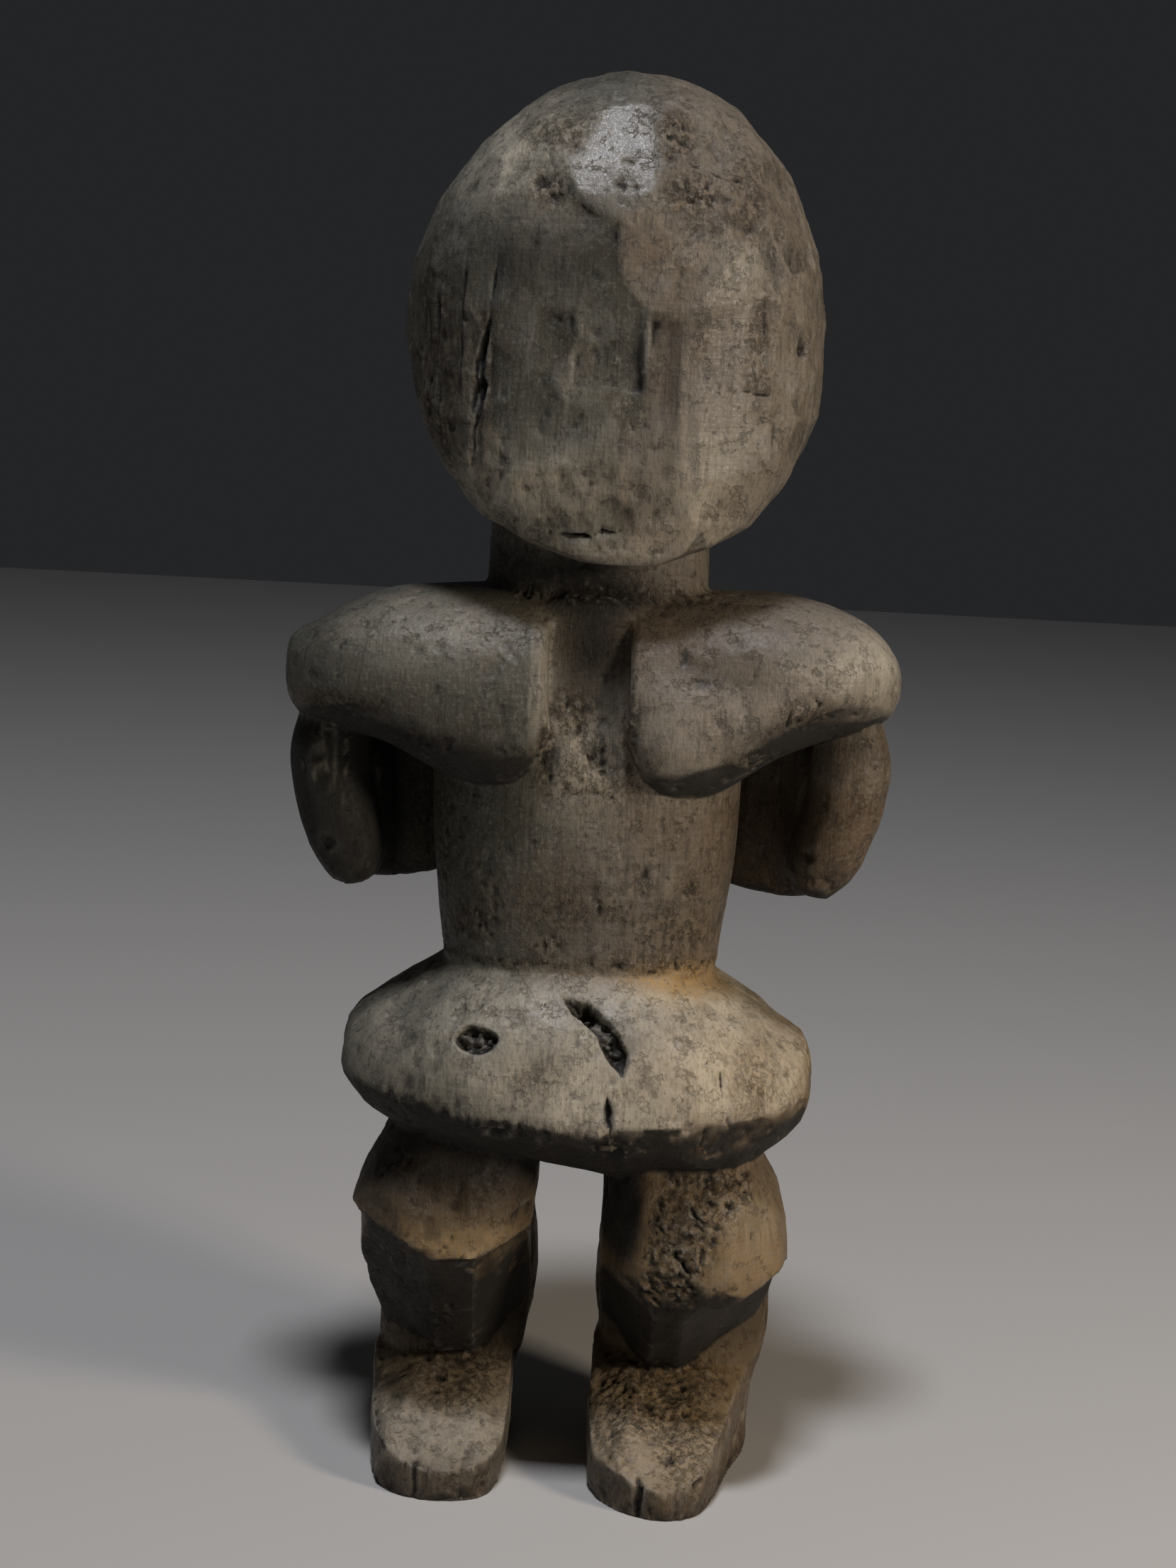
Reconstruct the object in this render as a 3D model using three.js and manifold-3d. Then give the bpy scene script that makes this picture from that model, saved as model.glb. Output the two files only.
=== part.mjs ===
// A standing figure carved from one log, in millimetres.
// The origin is on the ground under the middle of the figure and +Z is up. The face looks
// along -Y, and +X is at the viewer's right when the face is seen. Left and right below are
// the viewer's.
import * as THREE from 'three';
import { LoftGeometry } from 'three/addons/geometries/LoftGeometry.js';
import { mergeVertices } from 'three/addons/utils/BufferGeometryUtils.js';
import Module from 'manifold-3d';

// Heights of the main breaks in the figure, from the ground up.
const TOE_HEIGHT = 12;
const INSTEP_HEIGHT = 35;
const LEFT_KNEE = 85;
const RIGHT_KNEE = 72;
const HIP_RIDGE = 138;
const WAIST = 190;
const ELBOW = 202;
const CHEST_EDGE = 245;
const SHOULDER_TOP = 309;
const CHIN = 318;
const CHEEK = 397;
const CROWN = 480;

// Widths and depths of the same masses.
const HEAD_WIDTH = 141;
const FACE_REACH = 63;
const NAPE_REACH = 61;
const NECK_WIDTH = 75;
const SHOULDER_WIDTH = 209;
const CHEST_REACH = 52;
const TORSO_WIDTH = 105;
const TORSO_REACH = 40;
const HIP_WIDTH = 163;
const HIP_REACH = 61;
const ANKLE_REACH = 9;

const WOOD_COLOUR = '#6f6352';
const WOOD_ROUGHNESS = 0.72;

const wasm = await Module();
wasm.setup();
const { Manifold } = wasm;

// A closed oval through four reaches about a centre. Each quarter has its own fullness:
// 2 is an ellipse, more is boxier, less comes to a ridge where the quarters meet.
function oval(centre, reach, fullness, count) {
  const points = [];
  for (let i = 0; i < count; i += 1) {
    const angle = (i / count) * 2 * Math.PI;
    const across = Math.cos(angle);
    const along = Math.sin(angle);
    const power = 2 / (along < 0 ? fullness.low : fullness.high);
    const wide = across < 0 ? reach.left : reach.right;
    const deep = along < 0 ? reach.low : reach.high;
    points.push([
      centre[0] + wide * Math.sign(across) * Math.abs(across) ** power,
      centre[1] + deep * Math.sign(along) * Math.abs(along) ** power,
    ]);
  }
  return points;
}

// A smooth run through the values of one field of the slices, at t from 0 to 1.
function run(slices, field, t) {
  const place = t * (slices.length - 1);
  const i = Math.min(Math.floor(place), slices.length - 2);
  const s = place - i;
  const before = slices[Math.max(i - 1, 0)][field];
  const from = slices[i][field];
  const to = slices[i + 1][field];
  const after = slices[Math.min(i + 2, slices.length - 1)][field];
  const leave = (to - before) / 2;
  const arrive = (after - from) / 2;
  const bend = 3 * (to - from) - 2 * leave - arrive;
  const settle = leave + arrive - 2 * (to - from);
  return from + leave * s + bend * s * s + settle * s ** 3;
}

// A closed body from a skin of rings, each ring a list of Vector3.
function skin(rings) {
  const loft = new LoftGeometry(rings, { capStart: true, capEnd: true });
  const bare = new THREE.BufferGeometry();
  bare.setAttribute('position', loft.attributes.position);
  bare.setIndex(loft.index);
  const joined = mergeVertices(bare, 1e-4);
  const index = joined.index.array;
  const triangles = [];
  for (let i = 0; i < index.length; i += 3) {
    const [a, b, c] = [index[i], index[i + 1], index[i + 2]];
    if (a !== b && b !== c && c !== a) {
      triangles.push(a, b, c);
    }
  }
  return new Manifold(new wasm.Mesh({
    numProp: 3,
    vertProperties: new Float32Array(joined.attributes.position.array),
    triVerts: new Uint32Array(triangles),
  }));
}

// A mass from level slices, each { z, left, right, front, back }, listed from the bottom up.
function levelMass(slices, steps, around, fullness) {
  const rings = [];
  for (let i = 0; i <= steps; i += 1) {
    const at = (field) => run(slices, field, i / steps);
    const middle = [(at('left') + at('right')) / 2, (at('front') + at('back')) / 2];
    const half = (at('right') - at('left')) / 2;
    const depth = (at('back') - at('front')) / 2;
    const reach = { left: half, right: half, low: depth, high: depth };
    const ring = oval(middle, reach, fullness, around);
    rings.push(ring.map(([x, y]) => new THREE.Vector3(x, y, at('z'))));
  }
  return skin(rings);
}

// A mass from upright slices, each { x, front, back, bottom, ridge, top }, listed from left to
// right. The ridge is the height at which the slice reaches farthest forward.
function uprightMass(slices, steps, around, fullness) {
  const rings = [];
  for (let i = 0; i <= steps; i += 1) {
    const at = (field) => run(slices, field, i / steps);
    const middle = [(at('front') + at('back')) / 2, at('ridge')];
    const depth = (at('back') - at('front')) / 2;
    const reach = {
      left: depth,
      right: depth,
      low: at('ridge') - at('bottom'),
      high: at('top') - at('ridge'),
    };
    const ring = oval(middle, reach, fullness, around);
    rings.push(ring.map(([y, z]) => new THREE.Vector3(at('x'), y, z)));
  }
  return skin(rings);
}

// Flat adze cuts: each takes off what lies beyond a point in the direction it faces.
function adze(body, cuts) {
  let left = body;
  for (const [point, facing] of cuts) {
    const out = new THREE.Vector3(...facing).normalize();
    const reach = out.dot(new THREE.Vector3(...point));
    left = left.trimByPlane([-out.x, -out.y, -out.z], -reach);
  }
  return left;
}

// Head: a blank oval whose face is nearly flat, with an underside that slopes up to the nape.
function head() {
  const steps = 22;
  const around = 36;
  const chinReach = -52;
  const rings = [];
  for (let i = 0; i <= steps; i += 1) {
    const tilt = -Math.cos((i / steps) * Math.PI);
    const t = THREE.MathUtils.clamp(tilt, -0.9995, 0.9995);
    const fall = (power) => (1 - Math.abs(t) ** power) ** (1 / power);
    let width = (HEAD_WIDTH / 2) * fall(1.88);
    let front = -FACE_REACH * fall(2.3);
    let back = NAPE_REACH * fall(2.1);
    let height = CHEEK + (CROWN - CHEEK) * t;
    if (t < 0) {
      width = (HEAD_WIDTH / 2) * fall(2.2);
      front = chinReach - (chinReach + FACE_REACH) * fall(3.5);
      back = chinReach + (NAPE_REACH - chinReach) * fall(1.6);
      height = CHEEK + (CHEEK - CHIN) * t;
    }
    const middle = [1.5 + 4 * Math.abs(t) ** 1.5, (front + back) / 2];
    const depth = (back - front) / 2;
    const reach = { left: width, right: width, low: depth, high: depth };
    const ring = oval(middle, reach, { low: 2.5, high: 2.2 }, around);
    rings.push(ring.map(([x, y]) => new THREE.Vector3(x, y, height)));
  }
  return adze(skin(rings), [
    // the face, from its left cheek round to its right
    [[-48, -48, 385], [-0.78, -0.62, 0]],
    [[-30, -56.5, 385], [-0.42, -0.9, 0]],
    [[6, -60.7, 385], [-0.12, -0.99, 0]],
    [[13, -60, 385], [0.1, -0.99, 0]],
    [[23, -59, 385], [0.32, -0.95, 0]],
    [[48, -50.5, 385], [0.72, -0.69, 0]],
    // the brow and the crown
    [[-38, -43, 440], [-0.66, -0.58, 0.47]],
    [[-17, -52.8, 440], [-0.36, -0.79, 0.5]],
    [[-2, -52.8, 440], [-0.02, -0.85, 0.53]],
    [[10, -52.8, 440], [0.22, -0.82, 0.52]],
    [[34, -46, 440], [0.55, -0.68, 0.48]],
    [[-18, -34, 463], [-0.3, -0.45, 0.84]],
    [[16, -36, 464], [0.26, -0.46, 0.85]],
    // the chin and the jaw
    [[-34, -51.5, 345], [-0.42, -0.86, -0.28]],
    [[-6, -59, 350], [-0.08, -0.96, -0.27]],
    [[14, -58.5, 350], [0.12, -0.95, -0.28]],
    [[32, -54.5, 348], [0.44, -0.86, -0.26]],
  ]);
}

// Neck: a short round post, half hidden by the chin.
function neck() {
  const half = NECK_WIDTH / 2;
  return levelMass([
    { z: 296, left: -half - 2, right: half + 2, front: -34, back: 39 },
    { z: 312, left: -half, right: half, front: -31, back: 37 },
    { z: 330, left: -half, right: half, front: -31, back: 37 },
    { z: 350, left: -half, right: half, front: -31, back: 37 },
  ], 4, 28, { low: 2.4, high: 2.2 });
}

// Torso: a plain barrel, its front the floor of the channel between the chest slabs.
function torso() {
  const half = TORSO_WIDTH / 2;
  return levelMass([
    { z: 168, left: -half + 6, right: half - 5, front: -TORSO_REACH + 1, back: TORSO_REACH },
    { z: WAIST, left: -half + 4, right: half - 4, front: -TORSO_REACH, back: TORSO_REACH + 1 },
    { z: 214, left: -half + 1, right: half - 1, front: -TORSO_REACH - 1, back: TORSO_REACH + 3 },
    { z: 240, left: -half - 1, right: half, front: -TORSO_REACH - 1, back: TORSO_REACH + 5 },
    { z: 275, left: -half - 1, right: half, front: -TORSO_REACH, back: TORSO_REACH + 5 },
    { z: 292, left: -half + 8, right: half - 8, front: -TORSO_REACH + 1, back: TORSO_REACH + 1 },
    { z: 303, left: -half + 24, right: half - 24, front: -TORSO_REACH + 2, back: TORSO_REACH - 3 },
    { z: SHOULDER_TOP - 1, left: -half + 36, right: half - 36, front: -TORSO_REACH + 4, back: 30 },
  ], 8, 28, { low: 2.5, high: 2.4 });
}

// Chest slab and shoulder at the left, in upright slices from the shoulder's end inwards.
function leftShoulder() {
  const tip = -SHOULDER_WIDTH / 2;
  const slab = uprightMass([
    { x: tip, front: -8, back: 8, bottom: 272, ridge: 277, top: 282 },
    { x: tip + 2, front: -19, back: 15, bottom: 264, ridge: 277, top: 288 },
    { x: -95, front: -31, back: 23, bottom: 259, ridge: 277, top: 292 },
    { x: -84, front: -40, back: 30, bottom: 257, ridge: 276, top: 299 },
    { x: -68, front: -47, back: 38, bottom: 253, ridge: 272, top: 305 },
    { x: -50, front: -CHEST_REACH + 1, back: 44, bottom: CHEST_EDGE - 1, ridge: 268, top: 307 },
    { x: -34, front: -CHEST_REACH, back: 46, bottom: CHEST_EDGE - 6, ridge: 266, top: SHOULDER_TOP - 1 },
    { x: -22, front: -CHEST_REACH, back: 46, bottom: CHEST_EDGE - 4, ridge: 266, top: SHOULDER_TOP },
    { x: -13, front: -CHEST_REACH + 2, back: 46, bottom: CHEST_EDGE + 10, ridge: 270, top: SHOULDER_TOP },
  ], 18, 26, { low: 2.6, high: 2.5 });
  return adze(slab, [
    [[-18, -CHEST_REACH, 280], [0.88, -0.44, 0.13]],
    [[-60, -46, 250], [-0.2, -0.5, -0.84]],
  ]);
}

// Chest slab and shoulder at the right, a little higher, with a rounder breast.
function rightShoulder() {
  const tip = SHOULDER_WIDTH / 2;
  const slab = uprightMass([
    { x: 11, front: -CHEST_REACH + 3, back: 46, bottom: CHEST_EDGE + 10, ridge: 270, top: SHOULDER_TOP },
    { x: 20, front: -CHEST_REACH, back: 46, bottom: CHEST_EDGE - 4, ridge: 264, top: SHOULDER_TOP },
    { x: 31, front: -CHEST_REACH - 1, back: 46, bottom: CHEST_EDGE - 7, ridge: 262, top: SHOULDER_TOP },
    { x: 45, front: -CHEST_REACH, back: 45, bottom: CHEST_EDGE - 3, ridge: 266, top: SHOULDER_TOP },
    { x: 62, front: -48, back: 41, bottom: 253, ridge: 274, top: 309 },
    { x: 78, front: -43, back: 34, bottom: 260, ridge: 280, top: 306 },
    { x: 92, front: -34, back: 26, bottom: 264, ridge: 283, top: 300 },
    { x: tip - 3, front: -21, back: 16, bottom: 269, ridge: 281, top: 291 },
    { x: tip, front: -9, back: 8, bottom: 275, ridge: 280, top: 284 },
  ], 18, 26, { low: 2.5, high: 2.5 });
  return adze(slab, [
    [[14.5, -CHEST_REACH, 290], [-0.93, -0.33, 0.07]],
    [[70, -42, 258], [0.25, -0.55, -0.8]],
  ]);
}

// Arm: hangs from the shoulder, ends in a round elbow, and its forearm goes back and inwards
// to lie against the small of the back.
function arm(side, outer, drop) {
  const inner = outer - 27;
  const place = (z, out, within, front, back) => ({
    z,
    left: side < 0 ? -out : within,
    right: side < 0 ? -within : out,
    front,
    back,
  });
  const upper = levelMass([
    place(ELBOW + drop, outer - 19, inner + 6, -9, 14),
    place(ELBOW + drop + 2, outer - 14, inner - 1, -14, 19),
    place(ELBOW + drop + 8, outer - 9, inner - 5, -18, 24),
    place(ELBOW + drop + 18, outer - 4, inner - 4, -21, 25),
    place(ELBOW + drop + 34, outer, inner, -22, 22),
    place(ELBOW + drop + 50, outer + 1, inner + 1, -22, 19),
    place(ELBOW + drop + 72, outer - 6, inner + 2, -20, 18),
  ], 10, 18, { low: 2.7, high: 2.4 });
  const bend = [
    { x: outer - 20, y: 6, z: ELBOW + 26, thick: 10, tall: 22 },
    { x: outer - 26, y: 24, z: ELBOW + 30, thick: 12, tall: 32 },
    { x: outer - 42, y: 35, z: ELBOW + 29, thick: 12, tall: 31 },
    { x: outer - 60, y: 41, z: ELBOW + 24, thick: 11, tall: 22 },
    { x: outer - 78, y: 42, z: ELBOW + 20, thick: 10, tall: 17 },
    { x: outer - 91, y: 41, z: ELBOW + 19, thick: 8, tall: 13 },
  ];
  const steps = 8;
  const rings = [];
  for (let i = 0; i <= steps; i += 1) {
    const t = i / steps;
    const [x, y, z] = ['x', 'y', 'z'].map((field) => run(bend, field, t));
    const ahead = THREE.MathUtils.lerp(t, 1, 0.02);
    const behind = THREE.MathUtils.lerp(t, 0, 0.02);
    const along = new THREE.Vector3(
      run(bend, 'x', ahead) - run(bend, 'x', behind),
      run(bend, 'y', ahead) - run(bend, 'y', behind),
      0,
    ).normalize();
    const thick = run(bend, 'thick', t);
    const tall = run(bend, 'tall', t);
    const reach = { left: thick, right: thick, low: tall, high: tall };
    const ring = oval([0, 0], reach, { low: 2.6, high: 2.6 }, 14);
    if (side < 0) {
      ring.reverse();
    }
    rings.push(ring.map(([u, v]) => new THREE.Vector3(side * (x - along.y * u), y + along.x * u, z + v)));
  }
  const forearm = skin(rings);
  return upper.add(forearm);
}

// Hips: one wide cushion. It slopes out from the waist to a ridge, then in again to the thighs.
function hips() {
  const tip = HIP_WIDTH / 2;
  const cushion = uprightMass([
    { x: 1 - tip, front: -10, back: 16, bottom: 138, ridge: 142, top: 148 },
    { x: 3 - tip, front: -26, back: 31, bottom: 135, ridge: 142, top: 156 },
    { x: -70, front: -41, back: 42, bottom: 126, ridge: 141, top: 164 },
    { x: -56, front: -51, back: 50, bottom: 118, ridge: HIP_RIDGE + 1, top: 173 },
    { x: -36, front: -HIP_REACH + 2, back: 57, bottom: 113, ridge: HIP_RIDGE - 1, top: 185 },
    { x: -12, front: -HIP_REACH, back: 60, bottom: 110, ridge: HIP_RIDGE - 4, top: 192 },
    { x: 12, front: -HIP_REACH, back: 60, bottom: 106, ridge: HIP_RIDGE - 6, top: 192 },
    { x: 34, front: -HIP_REACH + 1, back: 57, bottom: 101, ridge: HIP_RIDGE - 7, top: 185 },
    { x: 55, front: -52, back: 51, bottom: 106, ridge: HIP_RIDGE - 4, top: 173 },
    { x: 69, front: -42, back: 43, bottom: 116, ridge: HIP_RIDGE, top: 163 },
    { x: tip - 2, front: -27, back: 31, bottom: 126, ridge: 140, top: 156 },
    { x: tip + 1, front: -10, back: 16, bottom: 133, ridge: 140, top: 147 },
  ], 24, 30, { low: 1.75, high: 2.2 });
  return cushion;
}

// Thigh and knee: a stout block that ends in a ledge over the shin.
function thigh(slices, cuts) {
  return adze(levelMass(slices, 7, 24, { low: 2.9, high: 2.4 }), cuts);
}

// Shin: a wedge that runs back and down from under the knee to the ankle.
function shin(slices, cuts) {
  return adze(levelMass(slices, 4, 20, { low: 2.6, high: 2.4 }), cuts);
}

// Foot: an upright toe face, a flat sole, and a top that slopes up to the instep.
function foot(outline, cuts) {
  const shape = new THREE.Shape();
  shape.moveTo(...outline[0]);
  shape.splineThru([...outline.slice(1), outline[0]].map(([x, y]) => new THREE.Vector2(x, y)));
  const points = shape.getSpacedPoints(30).slice(0, -1);
  const rings = [0, 6, TOE_HEIGHT + 4, 60].map((z, i) => {
    const inset = i === 0 ? 1.2 : 0;
    const centre = points.reduce((sum, p) => sum.add(p), new THREE.Vector2()).divideScalar(points.length);
    return points.map((p) => {
      const q = p.clone().sub(centre);
      const size = (q.length() - inset) / q.length();
      return new THREE.Vector3(centre.x + q.x * size, centre.y + q.y * size, z);
    });
  });
  return adze(skin(rings), cuts);
}

function leftLeg() {
  const upper = thigh([
    { z: LEFT_KNEE - 3, left: -74, right: -12, front: -47, back: 34 },
    { z: LEFT_KNEE + 6, left: -75, right: -11, front: -48, back: 40 },
    { z: 102, left: -72, right: -10, front: -46, back: 44 },
    { z: 116, left: -65, right: -9, front: -41, back: 46 },
    { z: 134, left: -56, right: -8, front: -34, back: 46 },
  ], [
    [[-64, -38, 100], [-0.75, -0.66, 0]],
    [[-50, -48, LEFT_KNEE], [-0.46, -0.12, -0.88]],
    [[-28, -48, LEFT_KNEE - 2], [0.5, -0.12, -0.86]],
  ]);
  const lower = shin([
    { z: 26, left: -62, right: -16, front: -14, back: 26 },
    { z: INSTEP_HEIGHT + 5, left: -63, right: -14, front: -20, back: 28 },
    { z: 64, left: -70, right: -11, front: -42, back: 30 },
    { z: LEFT_KNEE + 11, left: -72, right: -13, front: -43, back: 32 },
  ], [
    [[-44, -12, 42], [0, -0.78, -0.62]],
    [[-43, -12, 42], [-0.63, -0.57, -0.53]],
    [[-30, -12, 42], [0.81, -0.46, -0.37]],
  ]);
  const calf = levelMass([
    { z: 18, left: -62, right: -19, front: -2, back: 46 },
    { z: 38, left: -65, right: -12, front: -2, back: 50 },
    { z: 56, left: -65, right: -9, front: 0, back: 52 },
    { z: 78, left: -64, right: -10, front: 0, back: 48 },
    { z: 104, left: -58, right: -14, front: 0, back: 40 },
  ], 6, 20, { low: 2.5, high: 2.3 });
  const tread = foot([
    [-65, -14], [-61, -39], [-51, -50], [-36, -53], [-23, -47], [-18, -30],
    [-16, 0], [-18, 26], [-28, 43], [-42, 47], [-56, 40], [-65, 18],
  ], [
    [[-40, -52, TOE_HEIGHT], [0, -0.46, 0.89]],
    [[-60, -20, 24], [-0.42, -0.3, 0.86]],
    [[-20, -20, 24], [0.42, -0.36, 0.83]],
    [[-40, -10, 35], [0, -0.3, 0.95]],
  ]);
  return upper.add(lower).add(calf).add(tread);
}

function rightLeg() {
  const upper = thigh([
    { z: RIGHT_KNEE - 3, left: 14, right: 76, front: -47, back: 34 },
    { z: RIGHT_KNEE + 8, left: 12, right: 77, front: -51, back: 40 },
    { z: 98, left: 12, right: 75, front: -50, back: 44 },
    { z: 115, left: 12, right: 67, front: -43, back: 46 },
    { z: 134, left: 10, right: 56, front: -34, back: 46 },
  ], [
    [[22, -46, 90], [-0.8, -0.6, 0]],
    [[66, -40, 90], [0.7, -0.7, 0.12]],
    [[55, -50, RIGHT_KNEE - 2], [0.55, -0.12, -0.83]],
    [[30, -50, RIGHT_KNEE - 2], [-0.5, -0.12, -0.86]],
  ]);
  const lower = shin([
    { z: 24, left: 14, right: 62, front: -14, back: 26 },
    { z: INSTEP_HEIGHT + 3, left: 13, right: 66, front: -22, back: 28 },
    { z: 58, left: 12, right: 72, front: -40, back: 30 },
    { z: RIGHT_KNEE + 8, left: 13, right: 76, front: -44, back: 32 },
  ], [
    [[36, -12, 38], [0, -0.69, -0.73]],
    [[31, -12, 38], [-0.82, -0.39, -0.41]],
    [[42, -12, 38], [0.64, -0.53, -0.56]],
  ]);
  const calf = levelMass([
    { z: 16, left: 16, right: 67, front: -2, back: 46 },
    { z: 36, left: 14, right: 73, front: -4, back: 50 },
    { z: 54, left: 12, right: 75, front: -2, back: 52 },
    { z: 72, left: 12, right: 71, front: 0, back: 48 },
    { z: 96, left: 14, right: 62, front: 0, back: 40 },
  ], 6, 20, { low: 2.5, high: 2.3 });
  const tread = foot([
    [11, -24], [13, -40], [22, -54], [36, -61], [49, -55], [56, -38],
    [63, -10], [69, 16], [62, 38], [46, 47], [26, 44], [14, 28], [11, 0],
  ], [
    [[36, -59, TOE_HEIGHT], [0, -0.44, 0.9]],
    [[15, -24, 24], [-0.4, -0.36, 0.84]],
    [[58, -24, 26], [0.36, -0.36, 0.86]],
    [[38, -8, 35], [0, -0.3, 0.95]],
  ]);
  return upper.add(lower).add(calf).add(tread);
}

let body = torso();
for (const mass of [
  neck(),
  head(),
  leftShoulder(),
  rightShoulder(),
  arm(-1, 101, 0),
  arm(1, 102, 3),
  hips(),
  leftLeg(),
  rightLeg(),
]) {
  body = body.add(mass);
}

const carved = body.getMesh();
const geometry = new THREE.BufferGeometry();
geometry.setAttribute('position', new THREE.BufferAttribute(new Float32Array(carved.vertProperties), 3));
geometry.setIndex(Array.from(carved.triVerts));
const flat = geometry.toNonIndexed();
flat.computeVertexNormals();

const wood = new THREE.MeshStandardMaterial({
  color: WOOD_COLOUR,
  roughness: WOOD_ROUGHNESS,
  metalness: 0,
});
const mesh = new THREE.Mesh(flat, wood);
mesh.name = 'figure';

const figure = new THREE.Group();
figure.name = 'standing_figure';
figure.add(mesh);

export default figure;
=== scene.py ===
"""A standing figure carved from one log, with its tool marks, drying cracks and worn, dusty skin.

The figure is one piece of wood, so it is one mesh. Its masses are surfaces worked out on grids, in
millimetres, joined into one skin; the marks of the tool and of age are then pressed into that skin.
The face looks along -Y, +Z is up, and left and right are the viewer's.
"""

import itertools
import math

import bpy
import numpy as np
from mathutils import Matrix, Vector


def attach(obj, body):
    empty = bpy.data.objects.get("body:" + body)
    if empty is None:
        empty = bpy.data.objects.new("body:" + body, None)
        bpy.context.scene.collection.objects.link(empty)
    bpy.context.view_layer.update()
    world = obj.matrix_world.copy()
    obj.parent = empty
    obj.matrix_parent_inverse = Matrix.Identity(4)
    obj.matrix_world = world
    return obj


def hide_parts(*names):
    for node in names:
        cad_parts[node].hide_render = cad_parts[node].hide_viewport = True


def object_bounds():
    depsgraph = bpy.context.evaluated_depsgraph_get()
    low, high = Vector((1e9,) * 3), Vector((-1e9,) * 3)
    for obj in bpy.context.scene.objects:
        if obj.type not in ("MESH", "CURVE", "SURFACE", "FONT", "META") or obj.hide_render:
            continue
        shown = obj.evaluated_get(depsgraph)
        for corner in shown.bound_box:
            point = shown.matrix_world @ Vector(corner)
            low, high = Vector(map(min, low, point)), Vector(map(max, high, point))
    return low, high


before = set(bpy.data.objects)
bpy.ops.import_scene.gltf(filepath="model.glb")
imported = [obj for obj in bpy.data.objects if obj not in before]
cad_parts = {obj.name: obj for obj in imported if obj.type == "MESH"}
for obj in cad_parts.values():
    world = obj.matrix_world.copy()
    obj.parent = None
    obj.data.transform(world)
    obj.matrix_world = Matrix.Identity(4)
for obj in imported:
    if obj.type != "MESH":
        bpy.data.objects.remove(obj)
cad_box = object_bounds()


# Camera. The picture is taken from a metre away at the height of the face, looking 8 degrees down.
# It leans 2.9 degrees, so that the figure leans a little to the right in the picture.
EYE = Vector((0, -0.997, 0.380))
LOOKS_DOWN = math.radians(8)
LEANS = math.radians(2.9)
TALL_ANGLE = math.radians(30)
LONG_SIDE_OF_SENSOR = 36

camera = bpy.data.objects.new("camera", bpy.data.cameras.new("camera"))
camera.data.sensor_width = LONG_SIDE_OF_SENSOR
camera.data.lens = LONG_SIDE_OF_SENSOR / 2 / math.tan(TALL_ANGLE / 2)
camera.data.clip_start = 0.05
aim = Matrix.Rotation(math.pi / 2 - LOOKS_DOWN, 4, "X") @ Matrix.Rotation(LEANS, 4, "Z")
camera.matrix_world = Matrix.Translation(EYE) @ aim
bpy.context.scene.collection.objects.link(camera)
bpy.context.scene.camera = camera


# Floor and light. A wide pale floor, a soft light overhead that models the crown, the hips and the feet,
# and a warm one from the right for the cheek and the breast. No lamp stands at the left, so that side falls
# off into shade.
FLOOR_HALF = 4.0
FLOOR_COLOUR = "#bdbab4"
FLOOR_ROUGHNESS = 0.9
ROOM_COLOUR = "#c9ccd2"
ROOM_STRENGTH = 0.03


def srgb(text):
    """Linear red, green, blue and full alpha of an sRGB hex colour: each channel c turns to ((c + 0.055) /
    1.055) ^ 2.4, or c / 12.92 near black."""
    channels = [int(text[i:i + 2], 16) / 255 for i in (1, 3, 5)]
    return (*[c / 12.92 if c < 0.04045 else ((c + 0.055) / 1.055) ** 2.4 for c in channels], 1.0)


def add(tree, kind, inputs=None, **settings):
    """A node with its settings; each of its inputs, by name or number, takes an output socket or a plain
    value."""
    made = tree.nodes.new(kind)
    for name, value in settings.items():
        setattr(made, name, value)
    for key, value in (inputs or {}).items():
        if isinstance(value, bpy.types.NodeSocket):
            tree.links.new(value, made.inputs[key])
        else:
            made.inputs[key].default_value = value
    return made


def new_material(name):
    """An empty material and its node tree."""
    made = bpy.data.materials.new(name)
    made.use_nodes = True
    made.node_tree.nodes.clear()
    return made, made.node_tree


paper, paper_tree = new_material("floor_paper")
paper_shader = add(paper_tree, "ShaderNodeBsdfPrincipled", {
    "Base Color": srgb(FLOOR_COLOUR), "Roughness": FLOOR_ROUGHNESS,
})
add(paper_tree, "ShaderNodeOutputMaterial", {"Surface": paper_shader.outputs["BSDF"]})

floor_mesh = bpy.data.meshes.new("floor")
floor_corners = [(x * FLOOR_HALF, y * FLOOR_HALF, 0) for x, y in ((-1, -1), (1, -1), (1, 1), (-1, 1))]
floor_mesh.from_pydata(floor_corners, [], [(0, 1, 2, 3)])
floor_mesh.materials.append(paper)
floor = bpy.data.objects.new("floor", floor_mesh)
bpy.context.scene.collection.objects.link(floor)

room = bpy.data.worlds.new("room")
room.use_nodes = True
room.node_tree.nodes.clear()
room_light = add(room.node_tree, "ShaderNodeBackground", {
    "Color": srgb(ROOM_COLOUR), "Strength": ROOM_STRENGTH,
})
add(room.node_tree, "ShaderNodeOutputWorld", {"Surface": room_light.outputs["Background"]})
bpy.context.scene.world = room
bpy.context.scene.view_settings.view_transform = "Standard"


def lamp(name, place, target, side, watts, colour):
    """A square soft light of the given side, turned to its target. Sizes and places are in metres."""
    light = bpy.data.lights.new(name, "AREA")
    light.shape = "SQUARE"
    light.size = side
    light.energy = watts
    light.color = srgb(colour)[:3]
    holder = bpy.data.objects.new(name, light)
    turn = (Vector(target) - Vector(place)).to_track_quat("-Z", "Y").to_matrix().to_4x4()
    holder.matrix_world = Matrix.Translation(place) @ turn
    bpy.context.scene.collection.objects.link(holder)


lamp("overhead", place=(-0.10, -0.83, 2.65), target=(0, -0.03, 0.25), side=0.36, watts=42, colour="#f1f4ff")
lamp("from_right", place=(0.95, -0.74, 0.59), target=(0, 0, 0.27), side=0.24, watts=9, colour="#fff0de")


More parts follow.
